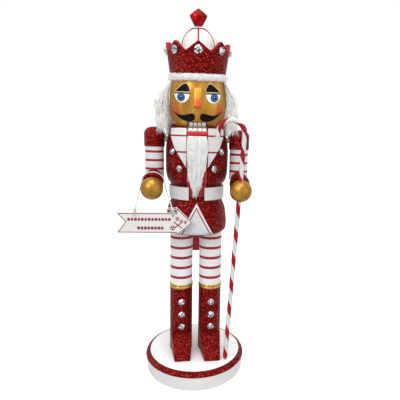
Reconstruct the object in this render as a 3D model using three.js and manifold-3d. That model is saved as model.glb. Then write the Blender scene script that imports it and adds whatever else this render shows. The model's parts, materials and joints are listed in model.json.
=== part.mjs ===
// A wooden nutcracker figure holding a candy cane staff and a hanging arrow sign.
// Millimetres, +Z up. The origin is at the middle of the underside of the base disc,
// and the figure faces -Y. "Left" and "right" are as seen from the front: left is -X.

import * as THREE from 'three';
import { mergeVertices } from 'three/addons/utils/BufferGeometryUtils.js';
import Module from 'manifold-3d';

const wasm = await Module();
wasm.setup();

// ---------------------------------------------------------------- driving dimensions

const fitGap = 0.3;              // gap left between a piece and one that is cut to fit it

// base disc
const baseRadius = 55.2;
const baseThickness = 19.8;
const baseEdgeWidth = 5;         // the glittered edge, seen from above
const baseEdgeHeight = 4.6;
const baseTaper = 1.6;           // the foot of the disc is this much smaller in radius

// boots and legs
const legSpacing = 31.8;         // between the leg axes
const legRadius = 12.3;
const legLength = 59.4;          // from the gold band to the coat's hem
const bootRadius = 12.5;
const bootHeight = 73.5;
const bandHeight = 5.1;
const bandProud = 0.7;
const bootTurn = THREE.MathUtils.degToRad(5);
const toeReach = 32.5;           // toe front, from the leg axis
const toeFrontWidth = 17;
const toeNoseHeight = 5;
const toeBackHeight = 21;
const bootGemRadius = 3.7;
const bootGemDrops = [14.6, 29.2, 43.5];     // below the top of the boot

// coat body: one turned block
const skirtRadius = 32.3;
const skirtHeight = 36.8;        // from the hem to the belt
const waistRadius = 27.4;
const beltWidth = 13;
const beltThickness = 1.5;
const beltFrontGap = 15.9;
const chestRadius = 32.7;
const chestHeight = 62.9;        // from the belt to the head
const shoulderRadius = 27.6;     // just under the head

// jaw lever and its slot
const leverWidth = 20;
const slotClearance = 0.5;       // each side of the lever
const slotDepth = 8.6;           // how far the slot runs below the belt
const boardRise = 2.6;           // the board's foot, above the belt's lower edge
const pivotY = 4;
const pivotDrop = 22.5;          // below the head
const pinRadius = 2;
const pinHoleClearance = 0.3;
const pinLength = 50;
const chinDrop = 7.1;            // the chin's top, below the head
const chinInset = 1.3;           // the chin's front, inside the chest
const tailDrop = 32.1;           // how far the lever's tail hangs below the hem
const tailThickness = 7;
const tailProud = 1.2;           // the tail's back, outside the skirt
const teethInset = 1.2;          // at each end of the row
const teethHeight = 3.1;
const teethDepth = 4.5;
const beardThickness = 7;
const beardDrop = 60.9;

// lapels and coat panel
const trimThickness = 1.3;
const lapelDrops = [2.5, 11.5, 23.9, 42.3];  // corners of a lapel, below the head
const lapelInsets = [6.1, 6.1, 10.4];        // the outer corners, inside the chest
const lapelGemRadius = 3.3;
const lapelGems = [[2.8, 11.9], [8.3, 26.9], [15.4, 43.7]];   // inside the chest, below the head
const panelDrop = 2.6;           // the panel's tip, below the belt
const panelHalfWidth = 17.4;
const panelRise = 1.7;           // the panel's foot, above the hem

// head and crown, along the head's own axis
const headNod = THREE.MathUtils.degToRad(6.5);
const headHeight = 52.5;
const headFootRadius = 24.8;
const headRadius = 29.2;
const headWidestRise = 20.5;
const headTopRadius = 25.6;
const mouthHalfWidth = 8.9;
const mouthHeight = 5.5;
const mouthDepth = 5;
const noseWidth = 7.5;
const noseRise = 18.8;           // the nose's foot, above the foot of the head
const noseLength = 18.7;
const noseProud = 9.3;
const noseSeat = 3;              // how deep the nose is let into the head
const hairRadius = 42.5;
const hairFall = 13.5;           // the hair's foot, below the head
const brimOverlap = 8.6;         // how far the brim comes down over the head
const brimHeight = 7;
const brimRadius = 30;
const crownFootRadius = 28.4;
const crownTopRadius = 31.8;
const crownWall = 5;
const crownBand = 19.6;          // from the brim to the valleys
const crownPointHeight = 9.2;
const crownPoints = 8;
const crownGemRadius = 4;
const crownGemRise = 1;          // above the valleys
const capDomeRadius = 18.2;
const capRise = 12.8;            // the dome's top, above the points
const archRadius = 0.8;
const arches = 3;                // crossing over the cap
const finialHeight = 16.3;
const finialRadius = 8.9;
const finialGirdle = 9.3;        // the widest place, above the finial's foot

// arms, hands, staff and sign
const armY = -6;
const armGap = 0.7;              // between a shoulder cap and the chest
const armStart = 2.9;            // the top of the left arm, below the head
const armDrop = [0, 1.6];        // left, right: the right arm is set a little lower
const armLength = 51.6;
const capRadius = 10.5;
const capHeight = 20;
const sleeveRadius = 9.6;
const cuffRadius = 10.3;
const cuffLength = 5.5;
const handRadius = 11.2;
const handForward = 28;          // from the arm's axis
const handDrop = [60.3, 61.8];   // below the top of the left arm
const forearmRadius = 7.5;
const staffRadius = 2.5;
const staffAngle = -41.07;       // the staff's foot seen from above, in degrees
const staffInset = 11.82;        // the staff's foot, inside the edge of the base
const staffOffset = 1;           // the staff passes this far inside the hand's middle
const staffRise = 55.5;          // the start of the hook, above the hand
const hookRadius = 13;
const hookDrop = 5.5;
const staffHoleClearance = 0.45;
const boardThickness = 3;
const boardForward = 5;          // the board's front, ahead of the hand's middle
const signLeft = 33.9;           // the board's end, left of the hand
const signRight = 40.2;          // the arrow's tip, right of the hand
const signDrop = 23.6;           // the board's upper edge, below the hand's middle
const signHeight = 20;
const signHoleRadius = 1.2;
const signHoles = [[-16, 25.9], [20.9, 25.9]];   // right of the hand, below its middle
const signCordRadius = 0.6;
const dowelRadius = 2.5;         // holds each arm to the body
const dowelLength = 14;
const dowelDrop = 12.6;          // below the top of the left arm

// ---------------------------------------------------------------- heights and places that follow

const bootTop = baseThickness + bootHeight;
const hemHeight = bootTop + bandHeight + legLength;
const beltBottom = hemHeight + skirtHeight;
const beltTop = beltBottom + beltWidth;
const headSeat = beltTop + chestHeight;      // head's underside, on the body's axis
const headTop = headSeat + headHeight;
const slotFloor = beltBottom - slotDepth;
const slotWidth = leverWidth + 2 * slotClearance;
const pivotZ = headSeat - pivotDrop;
const chinTop = headSeat - chinDrop;
const chinFront = chestRadius - chinInset;
const tailBack = skirtRadius + tailProud;
const tailFoot = hemHeight - tailDrop;
const headWidest = headSeat + headWidestRise;
const mouthTop = headSeat + mouthHeight;
const noseFoot = headSeat + noseRise;
const noseTop = noseFoot + noseLength;
const noseReach = headRadius + noseProud;
const brimFoot = headTop - brimOverlap;
const brimTop = brimFoot + brimHeight;
const crownValley = brimTop + crownBand;
const crownTip = crownValley + crownPointHeight;
const capTop = crownTip + capRise;
// the board steps back behind the belt, inside its curve
const boardFoot = beltBottom + boardRise;
const beltFront = Math.sqrt((waistRadius + fitGap) ** 2 - (leverWidth / 2) ** 2) - 0.63;
const finialFoot = capTop + 2 * archRadius + 0.9;
const armReach = chestRadius + armGap + capRadius;
const armTop = headSeat - armStart;
const capFoot = armTop - capHeight;
const sleeveFoot = armTop - armLength;
const dowelHeight = armTop - dowelDrop;
const handY = armY - handForward;
const handHeight = handDrop.map((drop) => armTop - drop);

// ---------------------------------------------------------------- helpers

const nutcracker = new THREE.Group();
nutcracker.name = 'nutcracker';

const paint = {
  redGlitter: { color: 0x8e0f18, roughness: 0.45, metalness: 0.25 },
  redPaint: { color: 0xa51320, roughness: 0.4, metalness: 0 },
  white: { color: 0xf0eeec, roughness: 0.4, metalness: 0 },
  gold: { color: 0xc99a3e, roughness: 0.35, metalness: 0.7 },
  brightGold: { color: 0xd9ab3c, roughness: 0.2, metalness: 1 },
  fur: { color: 0xf4f2f0, roughness: 0.95, metalness: 0 },
  gem: { color: 0xdfe3ea, roughness: 0.08, metalness: 0.3 },
  ruby: { color: 0x9a0c1c, roughness: 0.08, metalness: 0 },
  wood: { color: 0xc8a070, roughness: 0.7, metalness: 0 },
  steel: { color: 0x9a9a9c, roughness: 0.35, metalness: 1 },
};

function addPiece(name, geometry, finish, group = nutcracker) {
  const mesh = new THREE.Mesh(geometry, new THREE.MeshStandardMaterial(finish));
  mesh.name = name;
  group.add(mesh);
  return mesh;
}

function toSolid(geometry) {
  const bare = geometry.clone();
  bare.deleteAttribute('normal');
  bare.deleteAttribute('uv');
  const merged = mergeVertices(bare, 1e-4);
  return new wasm.Manifold(new wasm.Mesh({
    numProp: 3,
    vertProperties: Float32Array.from(merged.attributes.position.array),
    triVerts: Uint32Array.from(merged.index.array),
  }));
}

function toGeometry(solid) {
  const mesh = solid.getMesh();
  const geometry = new THREE.BufferGeometry();
  geometry.setAttribute('position', new THREE.BufferAttribute(mesh.vertProperties, 3));
  geometry.setIndex(new THREE.BufferAttribute(mesh.triVerts, 1));
  geometry.computeVertexNormals();
  return geometry;
}

function cut(geometry, ...tools) {
  return toGeometry(tools.reduce((solid, tool) => solid.subtract(toSolid(tool)), toSolid(geometry)));
}

function join(geometry, ...others) {
  return toGeometry(others.reduce((solid, other) => solid.add(toSolid(other)), toSolid(geometry)));
}

function common(geometry, other) {
  return toGeometry(toSolid(geometry).intersect(toSolid(other)));
}

// A turned shape about the Z axis. The profile is [radius, height] from the foot up.
function turned(profile, segments = 40) {
  const points = profile.map(([radius, height]) => new THREE.Vector2(radius, height));
  return new THREE.LatheGeometry(points, segments).rotateX(Math.PI / 2);
}

// A closed ring: its [radius, height] section runs anticlockwise and comes back to its start.
function turnedRing(section, segments = 40) {
  return turned([...section, section[0]], segments);
}

function box(x0, x1, y0, y1, z0, z1) {
  return new THREE.BoxGeometry(x1 - x0, y1 - y0, z1 - z0)
    .translate((x0 + x1) / 2, (y0 + y1) / 2, (z0 + z1) / 2);
}

function rod(radius, length, segments = 20) {
  return new THREE.CylinderGeometry(radius, radius, length, segments).rotateX(Math.PI / 2);
}

// An [x, z] outline made thick along Y, from y0 to y1.
function plateXZ(outline, y0, y1) {
  const shape = new THREE.Shape(outline.map(([x, z]) => new THREE.Vector2(x, z)));
  return new THREE.ExtrudeGeometry(shape, { depth: y1 - y0, bevelEnabled: false })
    .rotateX(Math.PI / 2).translate(0, y1, 0);
}

// A [y, z] outline made thick along X, centred on x = 0.
function plateYZ(outline, width) {
  const shape = new THREE.Shape(outline.map(([y, z]) => new THREE.Vector2(y, z)));
  return new THREE.ExtrudeGeometry(shape, { depth: width, bevelEnabled: false })
    .rotateY(Math.PI / 2).rotateX(Math.PI / 2).translate(-width / 2, 0, 0);
}

function tube(curve, radius, steps, sides = 8) {
  const section = new THREE.Shape();
  for (let i = 0; i < sides; i += 1) {
    const angle = (i / sides) * 2 * Math.PI;
    const point = [radius * Math.cos(angle), radius * Math.sin(angle)];
    if (i === 0) section.moveTo(...point);
    else section.lineTo(...point);
  }
  section.closePath();
  return new THREE.ExtrudeGeometry(section, { steps, extrudePath: curve, bevelEnabled: false });
}

// A faceted stone: flat back on y = 0, crown facing -Y.
function stone(radius, sides = 10) {
  const profile = [[0, 0], [radius, 0], [radius, 0.18 * radius], [0.62 * radius, 0.5 * radius], [0, 0.5 * radius]];
  return turned(profile, sides).rotateX(Math.PI / 2);
}

// Radius of a turned profile at a height, between its two nearest points.
function radiusAt(profile, height) {
  const i = profile.findIndex(([, z], k) => k > 0 && z >= height);
  const [[r0, z0], [r1, z1]] = [profile[i - 1], profile[i]];
  return r0 + ((r1 - r0) * (height - z0)) / (z1 - z0);
}

// Stones are set on a turned surface, facing out along its normal.
function setStone(name, radius, profile, angle, height, group = nutcracker) {
  const above = radiusAt(profile, height + radius);
  const below = radiusAt(profile, height - radius);
  const lean = Math.atan2(above - below, 2 * radius);
  const out = Math.max(above, below, radiusAt(profile, height)) + 0.15;
  const geometry = stone(radius).rotateX(lean).translate(0, -out, height).rotateZ(angle);
  return addPiece(name, geometry, paint.gem, group);
}

// ---------------------------------------------------------------- base, boots and legs

function makeBase() {
  const edge = baseRadius - baseEdgeWidth;
  const edgeFoot = baseThickness - baseEdgeHeight;
  const profile = [[0, 0], [baseRadius - baseTaper, 0], [baseRadius - 0.3, edgeFoot],
    [baseRadius, edgeFoot + 0.5], [baseRadius - 1.2, edgeFoot + 2.9],
    [edge + 1.4, baseThickness - 0.5], [edge, baseThickness], [0, baseThickness]];
  addPiece('base_disc', turned(profile, 56), paint.white);
}

function makeToe() {
  const side = [[0, 0], [-toeReach + 1, 0], [-toeReach, 1], [-toeReach, toeNoseHeight],
    [-toeReach + 5, toeNoseHeight + 3], [-bootRadius - 3, toeBackHeight - 3],
    [-bootRadius + 1, toeBackHeight], [0, toeBackHeight]];
  const half = toeFrontWidth / 2;
  const plan = new THREE.Shape([[-bootRadius, 0], [-bootRadius, -4], [-half, -toeReach - 1],
    [half, -toeReach - 1], [bootRadius, -4], [bootRadius, 0]].map(([x, y]) => new THREE.Vector2(x, y)));
  const block = new THREE.ExtrudeGeometry(plan, { depth: toeBackHeight + 2, bevelEnabled: false });
  const shaped = common(plateYZ(side, 2 * bootRadius + 2), block.translate(0, 0, -1));
  const socket = rod(bootRadius + fitGap, 60, 32);
  return cut(shaped, socket, box(-30, 30, -4, 10, -1, 40));
}

function makeLeg(side, name) {
  const leg = new THREE.Group();
  leg.position.set((side * legSpacing) / 2, 0, 0);
  leg.rotation.z = bootTurn;
  nutcracker.add(leg);
  const shaft = [[0, baseThickness], [bootRadius, baseThickness], [bootRadius, bootTop], [0, bootTop]];
  addPiece(`boot_${name}`, turned(shaft, 32), paint.redGlitter, leg);
  addPiece(`toe_${name}`, makeToe().translate(0, 0, baseThickness + 0.01), paint.redGlitter, leg);
  const collar = legRadius + bandProud;
  const step = bandHeight / 4;
  const band = [[0, bootTop], [collar - 0.4, bootTop], [collar, bootTop + step], [collar - 0.4, bootTop + 2 * step],
    [collar, bootTop + 3 * step], [collar - 0.4, bootTop + bandHeight], [0, bootTop + bandHeight]];
  addPiece(`boot_band_${name}`, turned(band, 32), paint.brightGold, leg);
  const legFoot = bootTop + bandHeight;
  const dowel = [[0, legFoot], [legRadius, legFoot], [legRadius, hemHeight], [0, hemHeight]];
  addPiece(`leg_${name}`, turned(dowel, 32), paint.white, leg);
  bootGemDrops.forEach((drop, i) => {
    setStone(`boot_gem_${name}_${i + 1}`, bootGemRadius, shaft, 0, bootTop - drop, leg);
  });
}

// ---------------------------------------------------------------- coat body

const bodyProfile = [[0, hemHeight], [skirtRadius - 4.5, hemHeight], [skirtRadius - 1.2, hemHeight + 2.4],
  [skirtRadius, hemHeight + 6], [skirtRadius, hemHeight + 14.2], [waistRadius + 3.2, beltBottom - 10.6],
  [waistRadius, beltBottom - 2.1], [waistRadius, beltTop + 1.4], [waistRadius + 2.8, beltTop + 5.4],
  [chestRadius - 0.6, beltTop + 11.4], [chestRadius, beltTop + 20.4], [chestRadius, headSeat - 26.5],
  [chestRadius - 1.1, headSeat - 14.5], [chestRadius - 3, headSeat - 7.5], [shoulderRadius, headSeat],
  [shoulderRadius - 3, headSeat + 5.5], [0, headSeat + 5.5]];

// The dowel between an arm and the body, or its hole when given a clearance.
function armDowel(side, clearance) {
  const middle = (side * (armReach - capRadius + chestRadius)) / 2;
  return rod(dowelRadius + clearance, dowelLength + 2 * clearance, 12).rotateY(Math.PI / 2)
    .translate(middle, armY, dowelHeight);
}

// The slot for the jaw. Its floor comes up in front to just under the board, and falls away behind
// it, where the board's foot swings.
function slotShape() {
  const lip = boardFoot - 2 * fitGap;
  const open = headSeat + 20;
  const side = [[-50, lip], [-beltFront - 0.2, lip], [-beltFront - 0.2 + (lip - slotFloor) / 0.6, slotFloor],
    [50, slotFloor], [50, open], [-50, open]];
  return plateYZ(side, slotWidth);
}

function nodded(geometry) {
  return geometry.translate(0, 0, -headSeat).rotateX(headNod).translate(0, 0, headSeat);
}

function makeCoatBody() {
  const tailSlot = box(-slotWidth / 2, slotWidth / 2, tailBack - tailThickness - 3, 50, hemHeight - 5, slotFloor + 1);
  const overHead = nodded(box(-60, 60, -60, 60, headSeat - fitGap, headSeat + 50));
  const pinHole = rod(pinRadius + pinHoleClearance, pinLength + 1, 16).rotateY(Math.PI / 2)
    .translate(0, pivotY, pivotZ);
  const holes = [-1, 1].map((side) => armDowel(side, fitGap));
  const body = cut(turned(bodyProfile, 48), slotShape(), tailSlot, overHead, pinHole, ...holes);
  addPiece('coat_body', body, paint.redGlitter);
}

function shellOver(profile, thickness, z0, z1) {
  const inner = profile.filter(([r, z]) => r > 1 && z > z0 && z < z1);
  const ends = [[radiusAt(profile, z0), z0], ...inner, [radiusAt(profile, z1), z1]];
  const outside = ends.map(([r, z]) => [r + fitGap + thickness, z]);
  const inside = ends.map(([r, z]) => [r + fitGap, z]).reverse();
  return turnedRing([...outside, ...inside], 48);
}

function makeBelt(side, name) {
  const band = shellOver(bodyProfile, beltThickness, beltBottom, beltTop);
  const gapBox = box(-beltFrontGap / 2, beltFrontGap / 2, -50, 0, beltBottom - 1, beltTop + 1);
  const tailBox = box(-slotWidth / 2, slotWidth / 2, 0, 50, beltBottom - 1, beltTop + 1);
  const other = box(side > 0 ? -60 : 0, side > 0 ? 0 : 60, -60, 60, beltBottom - 2, beltTop + 2);
  addPiece(`belt_${name}`, cut(band, gapBox, tailBox, other), paint.white);
}

function makeLapel(side, name) {
  const heights = lapelDrops.map((drop) => headSeat - drop);
  const [top, , , foot] = heights;
  const shell = shellOver(bodyProfile, trimThickness, foot - 1, top - 2);
  const inner = slotWidth / 2 - 0.1;
  const edge = lapelInsets.map((inset, i) => [chestRadius - inset, heights[i]]);
  const outline = [[inner, foot], ...edge.reverse(), [inner, top]];
  const mirrored = side > 0 ? outline : outline.map(([x, z]) => [-x, z]).reverse();
  addPiece(`lapel_${name}`, common(shell, plateXZ(mirrored, -50, -5)), paint.white);
}

function makePanel() {
  const panelFoot = hemHeight + panelRise;
  const panelApex = beltBottom - panelDrop;
  const shell = shellOver(bodyProfile, trimThickness, panelFoot, panelApex);
  const outline = [[-panelHalfWidth, panelFoot - 1], [panelHalfWidth, panelFoot - 1], [0, panelApex]];
  addPiece('coat_panel', common(shell, plateXZ(outline, -50, -5)), paint.white);
}

// ---------------------------------------------------------------- jaw

function makeJaw() {
  const tailFront = tailBack - tailThickness;
  const side = [[-chinFront, chinTop], [-chinFront, beltTop + 7], [-beltFront, beltTop + 2], [-beltFront, boardFoot],
    [-beltFront + 9, boardFoot], [pivotY - 12, pivotZ - 22], [pivotY, pivotZ - 12], [tailFront - 6, pivotZ - 22],
    [tailFront, beltTop - 2.6], [tailFront, tailFoot], [tailBack, tailFoot], [tailBack, hemHeight],
    [tailBack - 1.8, beltBottom - 4.6], [tailBack - 2, pivotZ - 10], [tailBack - 9.5, pivotZ + 4],
    [pivotY, pivotZ + 9], [-chinFront + 6, chinTop]];
  const lever = plateYZ(side, leverWidth);
  const hole = rod(pinRadius + pinHoleClearance, leverWidth + 4, 16).rotateY(Math.PI / 2)
    .translate(0, pivotY, pivotZ);
  addPiece('jaw_lever', cut(lever, hole), paint.redPaint);
  addPiece('pivot_pin', rod(pinRadius, pinLength, 12).rotateY(Math.PI / 2).translate(0, pivotY, pivotZ), paint.steel);
  const front = -chinFront - 1.2;
  const teethWidth = leverWidth - 2 * teethInset;
  addPiece('lower_teeth', box(-teethWidth / 2, teethWidth / 2, front, front + teethDepth, chinTop, chinTop + teethHeight),
    paint.white);
  const wide = leverWidth / 2 + 0.6;
  const top = chinTop - 3.9;
  const half = [[wide - 0.4, top], [wide, top - 9.5], [wide - 0.5, top - 26.5], [wide - 1.8, top - 42.5],
    [wide - 4.9, top - 54], [1.8, top - beardDrop]];
  const beard = [...half.map(([x, z]) => [-x, z]), ...half.slice().reverse()];
  addPiece('beard', plateXZ(beard, -chinFront - 2.6 - beardThickness, -chinFront - 2.6), paint.fur);
}

// ---------------------------------------------------------------- head and crown

const headGroup = new THREE.Group();
headGroup.position.set(0, headSeat * Math.sin(headNod), headSeat * (1 - Math.cos(headNod)));
headGroup.rotation.x = headNod;
nutcracker.add(headGroup);

const headProfile = [[0, headSeat], [headFootRadius - 0.6, headSeat], [headFootRadius, headSeat + 0.8],
  [headFootRadius + 2.6, headSeat + 8.5], [headRadius - 0.5, headWidest - 6], [headRadius, headWidest],
  [headRadius - 0.3, headWidest + 7], [headRadius - 1.4, headTop - 17], [headTopRadius + 0.5, headTop - 9],
  [headTopRadius - 0.6, headTop - 0.6], [headTopRadius - 1.2, headTop], [0, headTop]];

function makeHead() {
  const notch = box(-mouthHalfWidth, mouthHalfWidth, -40, -headFootRadius + mouthDepth, headSeat - 2, mouthTop);
  const noseSlot = box(-noseWidth / 2 - fitGap, noseWidth / 2 + fitGap, -45, -headRadius + noseSeat,
    noseFoot - fitGap, noseTop + fitGap);
  addPiece('head', cut(turned(headProfile, 48), notch, noseSlot), paint.gold, headGroup);
  const back = -headRadius + noseSeat - fitGap;
  const noseSide = [[back, noseFoot], [-noseReach + 0.6, noseFoot], [-noseReach, noseFoot + 1.5],
    [-noseReach + 1.6, noseFoot + 6], [-headRadius - 1.6, noseTop], [back, noseTop]];
  addPiece('nose', plateYZ(noseSide, noseWidth), paint.gold, headGroup);
  const upper = box(-mouthHalfWidth + fitGap, mouthHalfWidth - fitGap, -headFootRadius - 0.6,
    -headFootRadius + mouthDepth - fitGap, headSeat + 0.3, mouthTop - 1.2);
  addPiece('upper_teeth', upper, paint.white, headGroup);
}

function makeHair() {
  const gap = 0.6;
  const hairTop = brimFoot - gap;
  const foot = headSeat - hairFall;
  const outer = [[hairRadius - 5.5, foot], [hairRadius - 2.5, foot + 5], [hairRadius - 2, headSeat + 1.5],
    [hairRadius, headWidest - 7], [hairRadius - 1.5, headWidest + 1], [hairRadius - 4.5, headWidest + 11],
    [headTopRadius + 6.4, headTop - 12], [headTopRadius + 4.3, hairTop]];
  const inner = [[headTopRadius + gap + 1.8, hairTop], [headRadius + gap, headWidest + 13],
    [headRadius + 2 * gap, headWidest], [headRadius + gap, headWidest - 8], [chestRadius + 1.1, headSeat + 3.5],
    [chestRadius + 1.7, foot]];
  const ring = turnedRing([...outer, ...inner], 40);
  const cheek = headRadius + 4.8;              // the face shows between the two sides of the hair
  const face = new THREE.Shape([[0, 4], [-cheek, -14], [-cheek, -60], [cheek, -60], [cheek, -14]]
    .map(([x, y]) => new THREE.Vector2(x, y)));
  const faceCut = new THREE.ExtrudeGeometry(face, { depth: headHeight + 40, bevelEnabled: false })
    .translate(0, 0, headSeat - 30);
  const shoulderCut = box(-60, 60, -60, armY + capRadius + 4.5, headSeat - 30, armTop + 3.9);
  addPiece('hair', cut(ring, faceCut, shoulderCut), paint.fur, headGroup);
}

function makeCrown() {
  const middle = brimFoot + brimHeight / 2;
  const half = brimHeight / 2;
  const inside = headTopRadius + 0.9;
  const brim = [[inside, middle - half * 0.8], [brimRadius - 1.6, brimFoot], [brimRadius, middle - 0.9],
    [brimRadius, middle + 0.9], [brimRadius - 1.6, brimTop], [inside, brimTop]];
  addPiece('crown_brim', turnedRing(brim, 40), paint.fur, headGroup);

  const foot = brimTop + 0.05;
  const outer = [[crownFootRadius, foot], [crownTopRadius, crownTip]];
  const innerTop = [crownTopRadius - crownWall, crownTip];
  const innerFoot = [headTopRadius - 0.1, foot];
  let crown = toSolid(turnedRing([...outer, innerTop, innerFoot], 48));
  const pitch = (2 * Math.PI) / crownPoints;
  const notchHalf = (crownTopRadius + 2) * Math.tan(pitch / 2);
  const rise = crownTip - crownValley;
  for (let i = 0; i < crownPoints; i += 1) {
    const wedge = plateXZ([[0, crownValley], [notchHalf, crownValley + rise], [notchHalf, crownTip + 5],
      [-notchHalf, crownTip + 5], [-notchHalf, crownValley + rise]], -60, -1);
    crown = crown.subtract(toSolid(wedge.rotateZ((i + 0.5) * pitch)));
  }
  addPiece('crown', toGeometry(crown), paint.redGlitter, headGroup);
  for (let i = 0; i < crownPoints; i += 1) {
    setStone(`crown_gem_${i + 1}`, crownGemRadius, outer, i * pitch, crownValley + crownGemRise, headGroup);
  }

  const capFootRadius = innerFoot[0] - 0.4;
  const cap = [[0, headTop + 0.3], [capFootRadius - 2, headTop + 0.3], [capFootRadius, headTop + 2.5],
    [capFootRadius + 0.4, headTop + 10], [capFootRadius - 1, crownValley - 3.5], [capDomeRadius + 3, crownValley],
    [capDomeRadius + 0.6, crownValley + 3.5], [capDomeRadius - 0.8, capTop - 13], [capDomeRadius - 3.5, capTop - 7.5],
    [capDomeRadius - 8, capTop - 3], [6, capTop - 0.6], [0, capTop]];
  addPiece('crown_cap', turned(cap, 40), paint.fur, headGroup);
  const clear = archRadius + 0.25;
  const arc = [[capDomeRadius + 3.4, crownValley + 2.2], [capDomeRadius + 0.9, crownValley + 5.5],
    [capDomeRadius - 0.6, capTop - 12.4], [capDomeRadius - 3.3, capTop - 7.1], [capDomeRadius - 7.8, capTop - 2.4],
    [6, capTop], [0, capTop + 0.6]]
    .map(([r, z]) => [r + clear * (r / (capDomeRadius + 3)), z + clear * (1 - r / 60) - (r > 0 ? 0 : 0.15)]);
  const across = [...arc.map(([r, z]) => new THREE.Vector3(-r, 0, z)),
    ...arc.slice(0, -1).reverse().map(([r, z]) => new THREE.Vector3(r, 0, z))];
  const cord = tube(new THREE.CatmullRomCurve3(across), archRadius, 26, 8);
  const others = Array.from({ length: arches - 1 }, (_, i) => cord.clone().rotateZ(((i + 1) * Math.PI) / arches));
  addPiece('crown_arches', join(cord, ...others).rotateZ(Math.PI / 2), paint.redGlitter, headGroup);

  const girdle = finialFoot + finialGirdle;
  const finialTop = finialFoot + finialHeight;
  const gem = [[0, finialFoot], [3.6, finialFoot], [finialRadius, girdle - 0.7], [finialRadius, girdle + 0.7],
    [4.6, finialTop - 3.6], [0, finialTop]];
  addPiece('finial_gem', turned(gem, 8), paint.ruby, headGroup);
}

// ---------------------------------------------------------------- arms, staff and sign

// The staff stands on the base, passes through the right hand and bends over above it.
const staffReach = baseRadius - staffInset;
const staffTurn = THREE.MathUtils.degToRad(staffAngle);
const staffFoot = new THREE.Vector3(staffReach * Math.cos(staffTurn), staffReach * Math.sin(staffTurn),
  baseThickness + 0.6);
const staffGrip = new THREE.Vector3(armReach - staffOffset, handY, handHeight[1]);
const staffShoulder = staffFoot.clone().lerp(staffGrip, 1 + staffRise / (staffGrip.z - staffFoot.z));

function staffPoints() {
  const foot = staffFoot;
  const top = staffShoulder;
  const up = top.clone().sub(foot).normalize();
  const inward = new THREE.Vector3(-1, 0, 0).addScaledVector(up, up.x).normalize();
  const points = [0, 0.3, 0.6, 0.8, 0.95, 1].map((share) => foot.clone().lerp(top, share));
  const centre = top.clone().addScaledVector(inward, hookRadius);
  const bends = 8;
  for (let i = 1; i <= bends; i += 1) {
    const angle = (i / bends) * Math.PI;
    points.push(centre.clone().addScaledVector(inward, -hookRadius * Math.cos(angle))
      .addScaledVector(up, hookRadius * Math.sin(angle)));
  }
  points.push(points[points.length - 1].clone().addScaledVector(up, -hookDrop));
  return points;
}

function makeStaff() {
  const path = new THREE.CatmullRomCurve3(staffPoints(), false, 'centripetal');
  addPiece('candy_cane_staff', tube(path, staffRadius, 56, 10), paint.white);
}

function makeArm(side, name) {
  const index = side < 0 ? 0 : 1;
  const drop = armDrop[index];
  const x = side * armReach;
  const top = armTop - drop;
  const profile = [[0, sleeveFoot - drop], [sleeveRadius, sleeveFoot - drop], [sleeveRadius, capFoot - drop],
    [capRadius, capFoot - drop + 0.6], [capRadius, top - capHeight * 0.32], [capRadius * 0.8, top - 2.2],
    [capRadius * 0.42, top - 0.3], [0, top]];
  const upper = turned(profile, 32).translate(x, armY, 0);
  const hand = new THREE.Vector3(x, handY, handHeight[index]);
  const elbow = new THREE.Vector3(x, armY, sleeveFoot - drop + 4);
  const along = hand.clone().sub(elbow).normalize();
  const turn = new THREE.Quaternion().setFromUnitVectors(new THREE.Vector3(0, 0, 1), along);
  const reach = hand.distanceTo(elbow) - handRadius + 0.5;
  const armProfile = [[0, 0], [forearmRadius, 0], [forearmRadius + 1.2, reach - cuffLength - 0.5],
    [cuffRadius, reach - cuffLength], [cuffRadius, reach], [0, reach]];
  const place = (geometry) => geometry.applyQuaternion(turn).translate(elbow.x, elbow.y, elbow.z);
  const ball = new THREE.SphereGeometry(handRadius, 24, 16);
  const ballCut = new THREE.SphereGeometry(handRadius + fitGap, 24, 16).translate(hand.x, hand.y, hand.z);
  const forearm = cut(place(turned(armProfile, 28)), ballCut,
    turned(profile.map(([r, z], i) => [r ? r + fitGap : 0, z + (i === 0 || i === 1 ? -fitGap : 0)]), 32)
      .translate(x, armY, 0));
  addPiece(`upper_arm_${name}`, cut(upper, armDowel(side, fitGap)), paint.white);
  addPiece(`arm_dowel_${name}`, armDowel(side, 0), paint.wood);
  addPiece(`forearm_${name}`, forearm, paint.redGlitter);
  let palm = ball.translate(hand.x, hand.y, hand.z);
  if (side > 0) {
    const axis = staffGrip.clone().sub(staffFoot).normalize();
    const middle = staffGrip;
    const quarter = new THREE.Quaternion().setFromUnitVectors(new THREE.Vector3(0, 0, 1), axis);
    palm = cut(palm, rod(staffRadius + staffHoleClearance, 60, 20).applyQuaternion(quarter)
      .translate(middle.x, middle.y, middle.z));
  }
  addPiece(`hand_${name}`, palm, paint.gold);
}

function makeSign() {
  const left = -armReach - signLeft;
  const tip = -armReach + signRight;
  const neck = tip - 16.2;                     // where the arrow's head starts
  const top = handHeight[0] - signDrop;
  const foot = top - signHeight;
  const middle = top - 9.4;
  const boardY = handY - boardForward;
  const outline = [[left, top], [left + 8.1, middle + 0.4], [left, foot], [neck, foot - 0.1], [neck + 0.6, foot - 2.8],
    [tip, middle - 0.4], [neck + 0.2, top + 6.2], [neck - 0.2, top + 0.2]];
  const plate = plateXZ(outline.slice().reverse(), boardY, boardY + boardThickness);
  const holes = signHoles.map(([x, drop]) => rod(signHoleRadius, 12, 10).rotateX(Math.PI / 2)
    .translate(-armReach + x, boardY + boardThickness / 2, handHeight[0] - drop));
  addPiece('sign_board', cut(plate, ...holes), paint.white);
}

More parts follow.
